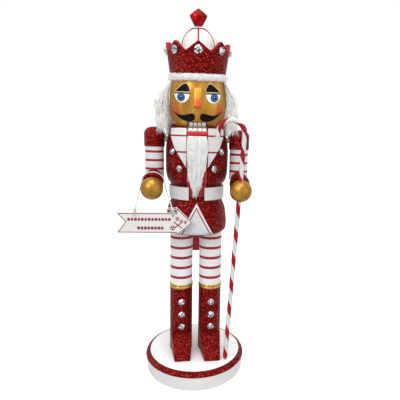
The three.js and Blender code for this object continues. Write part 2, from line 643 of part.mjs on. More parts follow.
// The string is tied at each hole of the board and goes over the left wrist behind the hand.
function makeSignCord() {
  const route = [[-59.9, -39.95, 181.4], [-59.9, -39.95, 184.5], [-59.7, -39.3, 188], [-58.6, -34.5, 195.1],
    [-57.2, -28.8, 203], [-56, -24.2, 209.5], [-54.9, -22.4, 214.5], [-53.7, -23.8, 217.9], [-49.6, -25.3, 221.7],
    [-43.9, -25.8, 223.1], [-38.2, -25.3, 221.7], [-34.1, -23.8, 217.9], [-32.9, -22.4, 214.5], [-31.8, -24.2, 209.5],
    [-29.7, -28.8, 203], [-26.6, -34.5, 195.1], [-23.4, -39.3, 188], [-23, -39.95, 184.5], [-23, -39.95, 181.4]];
  const path = new THREE.CatmullRomCurve3(route.map((point) => new THREE.Vector3(...point)), false, 'centripetal');
  addPiece('sign_cord', tube(path, signCordRadius, 56, 8), paint.white);
}

makeBase();
[[-1, 'left'], [1, 'right']].forEach(([side, name]) => {
  makeLeg(side, name);
  makeBelt(side, name);
  makeLapel(side, name);
  makeArm(side, name);
  lapelGems.forEach(([inset, drop], i) => {
    const surface = bodyProfile.map(([r, h]) => [r + trimThickness + fitGap, h]);
    const angle = side * Math.asin((chestRadius - inset) / radiusAt(surface, headSeat - drop));
    setStone(`lapel_gem_${name}_${i + 1}`, lapelGemRadius, surface, angle, headSeat - drop);
  });
});
makeCoatBody();
makePanel();
makeJaw();
makeHead();
makeHair();
makeCrown();
makeStaff();
makeSign();
makeSignCord();

export default nutcracker;
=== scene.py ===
import bpy
import bmesh
import json
import math
import random
from mathutils import Matrix, Vector, noise

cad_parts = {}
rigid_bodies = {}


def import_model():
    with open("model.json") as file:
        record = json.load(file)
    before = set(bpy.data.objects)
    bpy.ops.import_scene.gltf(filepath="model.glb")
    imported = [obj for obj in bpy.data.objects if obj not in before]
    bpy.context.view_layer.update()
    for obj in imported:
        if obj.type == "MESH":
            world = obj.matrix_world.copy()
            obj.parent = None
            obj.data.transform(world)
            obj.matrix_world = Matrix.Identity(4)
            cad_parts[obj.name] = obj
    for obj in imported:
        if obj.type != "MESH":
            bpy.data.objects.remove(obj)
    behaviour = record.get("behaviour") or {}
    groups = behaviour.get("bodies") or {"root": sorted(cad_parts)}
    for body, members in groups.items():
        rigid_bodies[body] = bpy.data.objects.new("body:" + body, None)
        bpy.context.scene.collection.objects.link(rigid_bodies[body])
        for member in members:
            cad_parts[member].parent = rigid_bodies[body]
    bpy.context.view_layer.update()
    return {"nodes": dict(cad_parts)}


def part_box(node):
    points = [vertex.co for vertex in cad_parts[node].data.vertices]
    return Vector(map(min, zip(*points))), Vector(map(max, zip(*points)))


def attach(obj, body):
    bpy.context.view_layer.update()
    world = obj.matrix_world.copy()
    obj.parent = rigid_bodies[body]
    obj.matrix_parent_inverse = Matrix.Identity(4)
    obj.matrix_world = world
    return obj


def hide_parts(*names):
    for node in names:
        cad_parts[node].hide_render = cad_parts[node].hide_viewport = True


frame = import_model()
mm = 0.001

cameraSetup = {
    "place": (-0.0012, -0.41446, 0.26114),
    "yaw": 4.4, "pitch": 9.6, "roll": 1.35,   # degrees
    "focal": 34.83, "shift": -0.0618,
}


def linkObject(name, data):
    obj = bpy.data.objects.new(name, data)
    bpy.context.scene.collection.objects.link(obj)
    return obj


def makeCamera():
    data = bpy.data.cameras.new("camera")
    data.sensor_width = 36
    data.lens = cameraSetup["focal"]
    data.shift_x = cameraSetup["shift"]
    data.clip_start, data.clip_end = 0.01, 50
    camera = linkObject("camera", data)
    yaw = Matrix.Rotation(math.radians(-cameraSetup["yaw"]), 4, "Z")
    pitch = Matrix.Rotation(math.radians(90 - cameraSetup["pitch"]), 4, "X")
    roll = Matrix.Rotation(math.radians(cameraSetup["roll"]), 4, "Z")
    camera.matrix_world = Matrix.Translation(cameraSetup["place"]) @ yaw @ pitch @ roll
    bpy.context.scene.camera = camera


lightSetup = {
    "key": {"place": (-0.9, -1.3, 1.2), "size": 0.7, "power": 10.5},
    "fill": {"place": (1.3, -1.1, 0.6), "size": 1.1, "power": 4},
    "top": {"place": (0.1, -0.45, 1.6), "size": 0.9, "power": 11},
    "aim": (0, 0, 0.2), "world": 0.74, "backdrop": 1.0, "floorGlow": 0.5,
}


def makeLights():
    for name in ("key", "fill", "top"):
        setup = lightSetup[name]
        data = bpy.data.lights.new(name, "AREA")
        data.size = setup["size"]
        data.energy = setup["power"]
        light = linkObject(name, data)
        light.location = setup["place"]
        aim = Vector(lightSetup["aim"]) - Vector(setup["place"])
        light.rotation_euler = aim.to_track_quat("-Z", "Y").to_euler()
    world = bpy.data.worlds.new("studio")
    world.use_nodes = True
    tree = world.node_tree
    sky = tree.nodes["Background"]
    backdrop = tree.nodes.new("ShaderNodeBackground")   # what is seen behind the figure is plain white
    for node, strength in ((sky, lightSetup["world"]), (backdrop, lightSetup["backdrop"])):
        node.inputs["Color"].default_value = (1, 1, 1, 1)
        node.inputs["Strength"].default_value = strength
    seen = tree.nodes.new("ShaderNodeLightPath").outputs["Is Camera Ray"]
    mix = tree.nodes.new("ShaderNodeMixShader")
    tree.links.new(seen, mix.inputs[0])
    tree.links.new(sky.outputs[0], mix.inputs[1])
    tree.links.new(backdrop.outputs[0], mix.inputs[2])
    tree.links.new(mix.outputs[0], tree.nodes["World Output"].inputs["Surface"])
    bpy.context.scene.world = world
    bpy.context.scene.view_settings.view_transform = "Standard"


def makeFloor():
    bm = bmesh.new()
    bmesh.ops.create_circle(bm, cap_ends=True, segments=64, radius=20)
    mesh = bpy.data.meshes.new("floor")
    bm.to_mesh(mesh)
    bm.free()
    floor = linkObject("floor", mesh)
    material = bpy.data.materials.new("paleFloor")
    material.use_nodes = True
    shader = material.node_tree.nodes["Principled BSDF"]
    shader.inputs["Base Color"].default_value = (0.9, 0.9, 0.9, 1)
    shader.inputs["Roughness"].default_value = 0.7
    shader.inputs["Emission Color"].default_value = (1, 1, 1, 1)
    shader.inputs["Emission Strength"].default_value = lightSetup["floorGlow"]
    mesh.materials.append(material)
    floor.visible_diffuse = floor.visible_glossy = False    # it doesn't light the figure from below


makeCamera()
makeLights()
makeFloor()
print("camera, lights and floor made")


def startMaterial(name, roughness=0.5, metallic=0.0, **sockets):
    material = bpy.data.materials.new(name)
    material.use_nodes = True
    shader = material.node_tree.nodes["Principled BSDF"]
    shader.inputs["Roughness"].default_value = roughness
    shader.inputs["Metallic"].default_value = metallic
    for socket, value in sockets.items():
        shader.inputs[socket.replace("_", " ")].default_value = value
    return material, material.node_tree, shader


def addNode(tree, kind, inputs=None, **settings):
    node = tree.nodes.new("ShaderNode" + kind)
    for key, value in settings.items():
        setattr(node, key, value)
    for key, value in (inputs or {}).items():
        if isinstance(value, bpy.types.NodeSocket):
            tree.links.new(value, node.inputs[key])
        else:
            node.inputs[key].default_value = value
    return node


def calc(tree, operation, *values):
    return addNode(tree, "Math", dict(enumerate(values)), operation=operation).outputs[0]


def calcVector(tree, operation, inputs, output="Vector"):
    return addNode(tree, "VectorMath", inputs, operation=operation).outputs[output]


def objectPoint(tree):
    return addNode(tree, "TexCoord").outputs["Object"]


def softSpots(tree, point, scale, detail):
    return addNode(tree, "TexNoise", {"Vector": point, "Scale": scale, "Detail": detail}).outputs["Fac"]


def flakeColors(tree, point, scale):
    return addNode(tree, "TexVoronoi", {"Vector": point, "Scale": scale}).outputs["Color"]


def oneChannel(tree, color, channel):
    return addNode(tree, "SeparateColor", {0: color}).outputs[channel]


def colorRamp(tree, factor, stops):
    node = addNode(tree, "ValToRGB", {"Fac": factor})
    ramp = node.color_ramp
    while len(ramp.elements) < len(stops):
        ramp.elements.new(0.5)
    for element, (place, color) in zip(ramp.elements, stops):
        element.position = place
        element.color = (*color, 1)
    return node.outputs["Color"]


def rampBase(tree, shader, factor, stops):
    tree.links.new(colorRamp(tree, factor, stops), shader.inputs["Base Color"])


def addBump(tree, shader, height, strength, distance):
    bump = addNode(tree, "Bump", {"Height": height, "Strength": strength, "Distance": distance})
    tree.links.new(bump.outputs["Normal"], shader.inputs["Normal"])


def brighter(stops, bright):
    return [(place, tuple(min(1, bright * c) for c in color)) for place, color in stops]


def mixColor(tree, factor, first, second, blend="MIX"):
    node = addNode(tree, "Mix", data_type="RGBA", blend_type=blend)
    for key, value in (("Factor", factor), ("A", first), ("B", second)):
        socket = [s for s in node.inputs if s.name == key and s.enabled][0]
        if isinstance(value, bpy.types.NodeSocket):
            tree.links.new(value, socket)
        else:
            socket.default_value = (*value, 1) if isinstance(value, tuple) else value
    return [s for s in node.outputs if s.enabled][0]


def flakeNormal(tree, shader, cells, strength):
    # every flake leans its own way
    centred = calcVector(tree, "SUBTRACT", {0: cells, 1: (0.5, 0.5, 0.5)})
    scaled = calcVector(tree, "SCALE", {0: centred, "Scale": strength})
    normal = addNode(tree, "NewGeometry").outputs["Normal"]
    leaning = calcVector(tree, "NORMALIZE", {0: calcVector(tree, "ADD", {0: normal, 1: scaled})})
    tree.links.new(leaning, shader.inputs["Normal"])


def heightBand(tree, start, pitch, width, count):
    # 1 inside each of count bands up the Z axis, the lowest centred on start
    height = addNode(tree, "SeparateXYZ", {0: objectPoint(tree)}).outputs["Z"]
    turns = calc(tree, "DIVIDE", calc(tree, "SUBTRACT", height, start - width / 2), pitch)
    inside = calc(tree, "LESS_THAN", calc(tree, "FRACT", turns), width / pitch)
    above = calc(tree, "GREATER_THAN", turns, 0.0)
    below = calc(tree, "LESS_THAN", turns, float(count))
    return calc(tree, "MULTIPLY", calc(tree, "MULTIPLY", inside, above), below)


glitterSetup = {
    "cell": 0.5 * mm, "fineCell": 0.28 * mm, "lean": 1.0, "darkest": 0.4, "lightest": 1.3,
    # random flake tones stand in for flakes that catch the light or miss it: the near-black stops are
    # painted shade, the bright orange-red top stop a painted sparkle highlight
    "stops": [(0.0, (0.04, 0.0, 0.001)), (0.5, (0.12, 0.001, 0.002)), (0.78, (0.30, 0.002, 0.004)),
              (0.91, (0.66, 0.008, 0.010)), (0.975, (1.0, 0.17, 0.11))],
}
shimmerSetup = {"cell": 0.9 * mm, "lean": 0.22, "stripeColor": (0.30, 0.0, 0.012)}
goldStops = [(0.3, (0.27, 0.125, 0.012)), (0.5, (0.40, 0.20, 0.024)), (0.7, (0.56, 0.31, 0.045))]


def glitterRed():
    size = glitterSetup
    material, tree, shader = startMaterial("redGlitter", 0.36, 0.6, Specular_IOR_Level=0.1)
    point = objectPoint(tree)
    coarse = flakeColors(tree, point, 1 / size["cell"])
    fine = flakeColors(tree, point, 1 / size["fineCell"])
    # painted sparkle and shade: each flake takes a ramp colour, then the fine cells darken or lighten it
    base = colorRamp(tree, oneChannel(tree, coarse, 0), size["stops"])
    shade = addNode(tree, "MapRange", {"Value": oneChannel(tree, fine, 1), "To Min": size["darkest"],
                                       "To Max": size["lightest"]}).outputs[0]
    tree.links.new(mixColor(tree, 1.0, base, shade, "MULTIPLY"), shader.inputs["Base Color"])
    flakeNormal(tree, shader, coarse, size["lean"])
    return material


def whiteShimmer(name, tint=0.1, stripes=None, paint=(0.72, 0.71, 0.715)):
    # white paint with fine pastel flakes, and red stripes where asked
    size = shimmerSetup
    material, tree, shader = startMaterial(name, 0.38, 0.0, Coat_Weight=0.1, Coat_Roughness=0.25)
    point = objectPoint(tree)
    cells = flakeColors(tree, point, 1 / size["cell"])
    broad = softSpots(tree, point, 60.0, 2.0)
    shade = addNode(tree, "MapRange", {"Value": broad, "To Min": 0.92, "To Max": 1.06}).outputs[0]
    base = mixColor(tree, 1.0, mixColor(tree, tint, paint, cells), shade, "MULTIPLY")
    if stripes:
        base = mixColor(tree, heightBand(tree, *stripes), base, size["stripeColor"])
    tree.links.new(base, shader.inputs["Base Color"])
    flakeNormal(tree, shader, cells, size["lean"])
    return material


def plainPaint(name, color, roughness=0.4, mottled=0.08, scale=140.0, **sockets):
    material, tree, shader = startMaterial(name, roughness, 0.0, **sockets)
    spots = softSpots(tree, objectPoint(tree), scale, 4.0)
    dark = tuple(c * (1 - mottled) for c in color)
    light = tuple(min(1.0, c * (1 + mottled)) for c in color)
    rampBase(tree, shader, spots, [(0.3, dark), (0.7, light)])
    addBump(tree, shader, spots, 0.12, 0.0003)
    return material


def nearPoint(tree, place, inner, outer):
    # 1 within inner of a place, falling to 0 at outer
    away = calcVector(tree, "DISTANCE", {0: objectPoint(tree), 1: place}, "Value")
    fall = {"Value": away, "From Min": inner, "From Max": outer, "To Min": 1.0, "To Max": 0.0}
    return addNode(tree, "MapRange", fall, interpolation_type="SMOOTHSTEP").outputs[0]


def goldSkin(name, blushes=(), bright=1.0):
    material, tree, shader = startMaterial(name, 0.38, 0.65, Coat_Weight=0.05, Coat_Roughness=0.3)
    point = objectPoint(tree)
    brushed = calcVector(tree, "MULTIPLY", {0: point, 1: (1.0, 1.0, 0.18)})
    base = colorRamp(tree, softSpots(tree, brushed, 160.0, 5.0), brighter(goldStops, bright))
    for place, inner, outer, color, amount in blushes:
        factor = calc(tree, "MULTIPLY", nearPoint(tree, place, inner, outer), amount)
        base = mixColor(tree, factor, base, color)
    tree.links.new(base, shader.inputs["Base Color"])
    addBump(tree, shader, softSpots(tree, point, 900.0, 2.0), 0.25, 0.0002)
    return material


def furWhite():
    material, tree, shader = startMaterial(
        "whiteFur", 0.75, 0.0, Sheen_Weight=0.3, Sheen_Roughness=0.5, Specular_IOR_Level=0.2,
        Subsurface_Weight=0.5, Subsurface_Scale=0.004, Subsurface_Radius=(1.0, 0.95, 0.9),
        Emission_Color=(1, 0.99, 0.96, 1), Emission_Strength=0.07)    # painted glow: the fur gives off a little light so its shaded strands read whiter
    rampBase(tree, shader, softSpots(tree, objectPoint(tree), 260.0, 3.0),
             [(0.3, (0.80, 0.79, 0.775)), (0.5, (0.88, 0.875, 0.865)), (0.7, (0.94, 0.94, 0.93))])
    return material


def clearStone():
    material, tree, shader = startMaterial("clearStone", 0.05, 0.85)
    # painted reflection: the colourless stone's facet cells are painted near black to white like dark and
    # bright reflections; the same cells also lean the normals
    facetsAndReflections = flakeColors(tree, objectPoint(tree), 800.0)
    rampBase(tree, shader, oneChannel(tree, facetsAndReflections, 0),
             [(0.15, (0.10, 0.09, 0.10)), (0.4, (0.42, 0.41, 0.43)), (0.65, (0.75, 0.75, 0.77)),
              (0.9, (0.97, 0.97, 0.98))])
    flakeNormal(tree, shader, facetsAndReflections, 0.4)
    return material


def rubyStone():
    material, tree, shader = startMaterial("rubyStone", 0.2, 0.0, IOR=1.5, Specular_IOR_Level=0.12)
    rampBase(tree, shader, softSpots(tree, objectPoint(tree), 150.0, 1.0),
             [(0.35, (0.14, 0.0, 0.002)), (0.55, (0.42, 0.001, 0.004)), (0.7, (0.80, 0.01, 0.008))])
    return material


def satinCloth():
    material, tree, shader = startMaterial("whiteSatin", 0.45, 0.0, Sheen_Weight=0.25, Sheen_Roughness=0.4)
    point = objectPoint(tree)
    weave = addNode(tree, "TexWave", {"Vector": point, "Scale": 900.0, "Distortion": 0.6}).outputs["Fac"]
    rampBase(tree, shader, softSpots(tree, point, 90.0, 3.0),
             [(0.3, (0.72, 0.70, 0.685)), (0.7, (0.82, 0.81, 0.80))])
    addBump(tree, shader, weave, 0.1, 0.0002)
    return material


def brightMetal(name, color, roughness):
    material, tree, shader = startMaterial(name, roughness, 1.0)
    dark = tuple(c * 0.85 for c in color)
    rampBase(tree, shader, softSpots(tree, objectPoint(tree), 300.0, 3.0), [(0.35, dark), (0.65, color)])
    return material


def bareWood(name="bareWood"):
    material, tree, shader = startMaterial(name, 0.6)
    ring = addNode(tree, "TexWave", {"Vector": objectPoint(tree), "Scale": 120.0, "Distortion": 4.0})
    rampBase(tree, shader, ring.outputs["Fac"], [(0.2, (0.52, 0.33, 0.17)), (0.8, (0.70, 0.50, 0.30))])
    return material


def roundLine(points, steps=6):
    # a smooth line through [radius, height] points
    line = []
    for i in range(len(points) - 1):
        before = points[max(i - 1, 0)]
        start, end = points[i], points[i + 1]
        after = points[min(i + 2, len(points) - 1)]
        for k in range(steps):
            t = k / steps
            line.append(tuple(0.5 * (2 * s + (e - b) * t + (2 * b - 5 * s + 4 * e - a) * t * t
                                     + (3 * s - b - 3 * e + a) * t ** 3)
                              for b, s, e, a in zip(before, start, end, after)))
    line.append(tuple(points[-1]))
    return line


def radiusAt(line, height):
    for (r0, z0), (r1, z1) in zip(line, line[1:]):
        if z0 <= height <= z1 and z1 > z0:
            return r0 + (r1 - r0) * (height - z0) / (z1 - z0)
    return line[-1][0]


def spinSolid(line, steps=96, closed=False):
    # turns a [radius, height] line in millimetres about the Z axis
    bm = bmesh.new()
    verts = [bm.verts.new((r * mm, 0, z * mm)) for r, z in line]
    edges = [bm.edges.new(pair) for pair in zip(verts, verts[1:])]
    if closed:
        edges.append(bm.edges.new((verts[-1], verts[0])))
    bmesh.ops.spin(bm, geom=verts + edges, cent=(0, 0, 0), axis=(0, 0, 1), angle=2 * math.pi, steps=steps,
                   use_merge=True, use_duplicate=False)
    bmesh.ops.remove_doubles(bm, verts=bm.verts, dist=1e-6)
    bmesh.ops.recalc_face_normals(bm, faces=bm.faces)
    return bm


def boxSolid(low, high):
    bm = bmesh.new()
    bmesh.ops.create_cube(bm, size=1)
    low, high = Vector(low) * mm, Vector(high) * mm
    bmesh.ops.scale(bm, vec=high - low, verts=bm.verts)
    bmesh.ops.translate(bm, vec=(low + high) / 2, verts=bm.verts)
    return bm


def bevelEdges(bm, width, segments=3, angle=30):
    sharp = [e for e in bm.edges if len(e.link_faces) == 2 and e.calc_face_angle(0) > math.radians(angle)]
    bmesh.ops.bevel(bm, geom=sharp, offset=width * mm, segments=segments, profile=0.5, affect="EDGES",
                    offset_type="OFFSET", clamp_overlap=True, material=-1)


def vertsOf(geom):
    return [v for v in geom if isinstance(v, bmesh.types.BMVert)]


def thicken(bm, face, step):
    made = bmesh.ops.extrude_face_region(bm, geom=[face])
    bmesh.ops.translate(bm, vec=step, verts=vertsOf(made["geom"]))


def drill(radius, depth, segments, matrix):
    bm = bmesh.new()
    bmesh.ops.create_cone(bm, cap_ends=True, segments=segments, radius1=radius * mm, radius2=radius * mm,
                          depth=depth * mm, matrix=matrix)
    return bm


def plateSolid(outline, low, high, along="Y"):
    # an outline in millimetres made thick along Y ([x, z] points) or X ([y, z] points)
    bm = bmesh.new()
    if along == "Y":
        verts = [bm.verts.new((a * mm, low * mm, b * mm)) for a, b in outline]
        step = (0, (high - low) * mm, 0)
    else:
        verts = [bm.verts.new((low * mm, a * mm, b * mm)) for a, b in outline]
        step = ((high - low) * mm, 0, 0)
    thicken(bm, bm.faces.new(verts), step)
    bmesh.ops.recalc_face_normals(bm, faces=bm.faces)
    return bm


def makeObject(name, bm, materials, smooth=35, matrix=None):
    if matrix is not None:
        bmesh.ops.transform(bm, matrix=matrix, verts=bm.verts)
    mesh = bpy.data.meshes.new(name)
    bm.to_mesh(mesh)
    bm.free()
    for material in materials if isinstance(materials, list) else [materials]:
        mesh.materials.append(material)
    for polygon in mesh.polygons:
        polygon.use_smooth = smooth > 0
    if smooth > 0:
        mesh.set_sharp_from_angle(angle=math.radians(smooth))
    return linkObject(name, mesh)


def applyModifiers(obj, smooth=35):
    mesh = bpy.data.meshes.new_from_object(obj.evaluated_get(bpy.context.evaluated_depsgraph_get()))
    obj.modifiers.clear()
    obj.data = mesh
    for polygon in mesh.polygons:
        polygon.use_smooth = True
    mesh.set_sharp_from_angle(angle=math.radians(smooth))


def cutAway(obj, *cutters, smooth=35):
    for i, bm in enumerate(cutters):
        tool = makeObject(f"{obj.name}Cutter{i}", bm, obj.data.materials[0], 0)
        cut = obj.modifiers.new("cut", "BOOLEAN")
        cut.operation = "DIFFERENCE"
        cut.solver = "EXACT"
        cut.object = tool
    applyModifiers(obj, smooth)
    for i in range(len(cutters)):
        bpy.data.objects.remove(bpy.data.objects[f"{obj.name}Cutter{i}"])
    return obj


def settle(obj, body, slot, *nodes):
    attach(obj, body)
    if nodes:
        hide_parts(*nodes)
    return obj


def curveData(name, radius, rounding):
    data = bpy.data.curves.new(name, "CURVE")
    data.dimensions = "3D"
    data.bevel_depth = radius * mm
    data.bevel_resolution = rounding
    data.use_fill_caps = True
    return data


def tubeMesh(name, lines, material, rounding=1):
    # each line is a list of (point in millimetres, radius in millimetres)
    data = curveData(name, 1, rounding)
    for line in lines:
        spline = data.splines.new("POLY")
        spline.points.add(len(line) - 1)
        for point, (place, radius) in zip(spline.points, line):
            point.co = (*(Vector(place) * mm), 1)
            point.radius = radius
    shape = linkObject(name + "Curve", data)
    mesh = bpy.data.meshes.new_from_object(shape.evaluated_get(bpy.context.evaluated_depsgraph_get()))
    bpy.data.objects.remove(shape)
    bm = bmesh.new()
    bm.from_mesh(mesh)
    bmesh.ops.remove_doubles(bm, verts=bm.verts, dist=1e-7)
    return makeObject(name, bm, material, 180)


def turnedPiece(name, line, materials, body, slot, *nodes, steps=96, matrix=None, split=None):
    # a turned part; split(radius, height in mm) gives the number of the material
    bm = spinSolid(line, steps)
    if split:
        for face in bm.faces:
            middle = face.calc_center_median() / mm
            face.material_index = int(split(math.hypot(middle.x, middle.y), middle.z))
    return settle(makeObject(name, bm, materials, 35, matrix), body, slot, *nodes)


legSpacing = 31.8
bootTurn = math.radians(5)
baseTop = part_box("base_disc")[1].z / mm
headSeat = 270.5
headNod = math.radians(6.5)
headTurn = (Matrix.Translation((0, 0, headSeat * mm)) @ Matrix.Rotation(headNod, 4, "X")
            @ Matrix.Translation((0, 0, -headSeat * mm)))
sides = {"left": -1, "right": 1}

redGlitter = glitterRed()
cordGlitter = plainPaint("cordRed", (0.32, 0.002, 0.010), 0.45, mottled=0.4, scale=1800)
shimmer = whiteShimmer("whiteShimmer")
whiteFur = furWhite()
stoneGlass = clearStone()
collarGold = brightMetal("collarGold", (0.66, 0.42, 0.12), 0.24)
handGold = goldSkin("handGold")
print("materials made")

baseSetup = {"radius": 55.2, "foot": 53.6, "edgeWidth": 5.0, "edgeHeight": 4.6}


def makeBase():
    size = baseSetup
    top = baseTop
    edge = size["radius"] - size["edgeWidth"]
    low = top - size["edgeHeight"]
    line = [(0, 0), (size["foot"] - 0.5, 0), (size["foot"], 0.5), (size["radius"] - 0.3, low)]
    line += roundLine([(size["radius"] - 0.3, low), (size["radius"], low + 0.6),
                       (size["radius"] - 1.2, low + 2.9), (edge + 1.5, top - 0.4), (edge, top)], 5)[1:]
    line += [(edge - 0.01, top), (0, top)]
    # painted light: the top of the base gets a much brighter copy of the white paint than its side, as if
    # lit from above
    rim = whiteShimmer("baseWhite", 0.03, paint=(0.75, 0.75, 0.745))
    litDeck = whiteShimmer("baseTopLitWhite", 0.02, paint=(0.97, 0.965, 0.965))
    turnedPiece("base_disc_turned", line, [rim, redGlitter, litDeck], "figure", "base_white", "base_disc",
                steps=160, split=lambda r, z: 0 if z < low + 0.1 else 1 if r > edge else 2)


bootSetup = {"radius": 12.5, "top": 93.3, "legRadius": 12.3, "bandHeight": 5.1, "bandProud": 0.7,
             "toeReach": 32.5, "toeWidth": 17.0, "toeNose": 5.0, "toeBack": 21.0, "legTop": 157.8,
             "gemRadius": 3.7, "gems": (78.7, 64.1, 49.8),
             "stripes": (106.7 * mm, 11.1 * mm, 3.0 * mm, 5)}
stoneSetup = {"sides": 8, "tiers": [(1.0, 0.0, 0.0), (1.0, 0.1, 0.0), (0.84, 0.3, 0.5), (0.52, 0.5, 0.0)]}
legStripes = whiteShimmer("legStripes", 0.1, bootSetup["stripes"], (0.85, 0.84, 0.84))


def makeToe(name, material, matrix):
    size = bootSetup
    side = [(3, 0), (-size["toeReach"], 0), (-size["toeReach"], size["toeNose"]),
            (-size["toeReach"] + 6, size["toeNose"] + 4.2), (-size["radius"] - 4, size["toeBack"] - 3.4),
            (-size["radius"] + 1, size["toeBack"]), (3, size["toeBack"])]
    bm = plateSolid(side, -1, 1, "X")
    half = size["toeWidth"] / 2
    for v in bm.verts:
        share = min(1, max(0, (-v.co.y / mm - 2) / (size["toeReach"] - 2)))
        v.co.x *= (size["radius"] - 0.1) * (1 - share) + half * share
        v.co.z += (baseTop + 0.02) * mm
    bevelEdges(bm, 0.9, 3, 25)
    return makeObject(name, bm, material, 35, matrix)


def makeLeg(name, side):
    size = bootSetup
    middle = side * legSpacing / 2
    place = Matrix.Translation((middle * mm, 0, 0)) @ Matrix.Rotation(bootTurn, 4, "Z")
    r, top = size["radius"], size["top"]
    shaft = [(0, baseTop), (r, baseTop), (r, top - 0.5), (r - 0.5, top), (0, top)]
    turnedPiece(f"boot_{name}_turned", shaft, redGlitter, "figure", "red_glitter", f"boot_{name}",
                matrix=place)
    toe = makeToe(f"toe_{name}_block", redGlitter, place)
    settle(toe, "figure", "red_glitter", f"toe_{name}")
    out = size["legRadius"] + size["bandProud"]
    bead = size["bandHeight"] / 2
    band = [(0, top)]
    for k in range(2):
        for j in range(9):
            angle = math.pi * (j / 8 - 0.5)
            band.append((out - 0.75 + 0.75 * math.cos(angle),
                         top + bead * (k + 0.5 + 0.5 * math.sin(angle))))
    band.append((0, top + 2 * bead))
    turnedPiece(f"boot_band_{name}_ring", band, collarGold, "figure", "gold_trim", f"boot_band_{name}",
                matrix=place)
    low = top + size["bandHeight"]
    leg = [(0, low), (size["legRadius"], low), (size["legRadius"], size["legTop"]), (0, size["legTop"])]
    turnedPiece(f"leg_{name}_turned", leg, legStripes, "figure", "striped_paint", f"leg_{name}",
                matrix=place)
    for i, height in enumerate(size["gems"]):
        setStone(f"boot_gem_{name}_{i + 1}", size["gemRadius"], shaft, 0, height, place)


def stoneSolid(radius):
    # a brilliant with its flat back on y = 0
    bm = bmesh.new()
    for share, height, offset in stoneSetup["tiers"]:
        count = stoneSetup["sides"] * (2 if share == 1.0 else 1)
        for i in range(count):
            angle = 2 * math.pi * (i + offset) / count
            bm.verts.new((radius * share * math.cos(angle) * mm, -radius * height * mm,
                          radius * share * math.sin(angle) * mm))
    bmesh.ops.convex_hull(bm, input=bm.verts)
    bmesh.ops.dissolve_limit(bm, angle_limit=0.01, verts=bm.verts, edges=bm.edges)
    bmesh.ops.recalc_face_normals(bm, faces=bm.faces)
    return bm


def setStone(node, radius, line, angle, height, matrix=None):
    above, below = radiusAt(line, height + radius), radiusAt(line, height - radius)
    lean = math.atan2(above - below, 2 * radius)
    out = max(above, below, radiusAt(line, height)) + 0.15
    place = (Matrix.Rotation(angle, 4, "Z") @ Matrix.Translation((0, -out * mm, height * mm))
             @ Matrix.Rotation(lean, 4, "X"))
    whole = place if matrix is None else matrix @ place
    stone = makeObject(node + "_cut", stoneSolid(radius), stoneGlass, 0, whole)
    settle(stone, "figure", "clear_stone", node)


makeBase()
for name, side in sides.items():
    makeLeg(name, side)
print("base, boots and legs made")

coatSetup = {
    "profile": [(27.8, 157.8), (31.1, 160.2), (32.3, 163.8), (32.3, 172), (30.6, 184), (27.4, 192.5),
                (27.4, 200), (27.4, 209), (30.2, 213), (32.1, 219), (32.7, 228), (32.7, 244), (31.6, 256),
                (29.7, 263), (27.6, 270.5), (24.6, 276)],
    "hem": 157.8, "top": 276, "slot": 21.0, "slotFloor": 186.0, "lip": 196.6, "boardFront": 25.2,
    "tailFront": 23.5, "gap": 0.3, "trim": 1.3,
}
coatLine = roundLine(coatSetup["profile"], 5)


def makeCoat():
    size = coatSetup
    line = [(0, size["hem"])] + coatLine + [(0, size["top"])]
    coat = makeObject("coat_body_turned", spinSolid(line, 144), redGlitter)
    half = size["slot"] / 2
    seat = boxSolid((-60, -60, headSeat - size["gap"]), (60, 60, 320))
    bmesh.ops.transform(seat, matrix=headTurn, verts=seat.verts)
    floorStart = -size["boardFront"] - 0.2 + (size["lip"] - size["slotFloor"]) / 0.6
    slot = [(-50, size["lip"]), (-size["boardFront"] - 0.2, size["lip"]), (floorStart, size["slotFloor"]),
            (50, size["slotFloor"]), (50, 290), (-50, 290)]
    cutAway(coat, plateSolid(slot, -half, half, "X"),
            boxSolid((-half, size["tailFront"], size["hem"] - 5), (half, 50, size["slotFloor"] + 1)), seat)
    settle(coat, "figure", "red_glitter", "coat_body")


beltSetup = {"thickness": 1.5, "gapHalf": 7.95, "rounding": 0.35}


def beltLine(low, high, thickness):
    inner = [(radiusAt(coatLine, low + (high - low) * i / 6) + coatSetup["gap"], low + (high - low) * i / 6)
             for i in range(7)]
    outer = [(r + thickness, z) for r, z in reversed(inner)]
    return inner + outer


def makeBelt():
    low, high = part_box("belt_left")[0].z / mm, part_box("belt_left")[1].z / mm
    half, gap = coatSetup["slot"] / 2, beltSetup["gapHalf"]
    belt = makeObject("belt_band", spinSolid(beltLine(low, high, beltSetup["thickness"]), 144, True),
                       shimmer)
    cutAway(belt, boxSolid((-gap, -50, low - 2), (gap, 0, high + 2)),
            boxSolid((-half, 0, low - 2), (half, 50, high + 2)))
    rounded = belt.modifiers.new("round", "BEVEL")
    rounded.width, rounded.segments = beltSetup["rounding"] * mm, 2
    rounded.limit_method, rounded.angle_limit = "ANGLE", 0.7
    applyModifiers(belt)
    settle(belt, "figure", "white_paint", "belt_left", "belt_right")


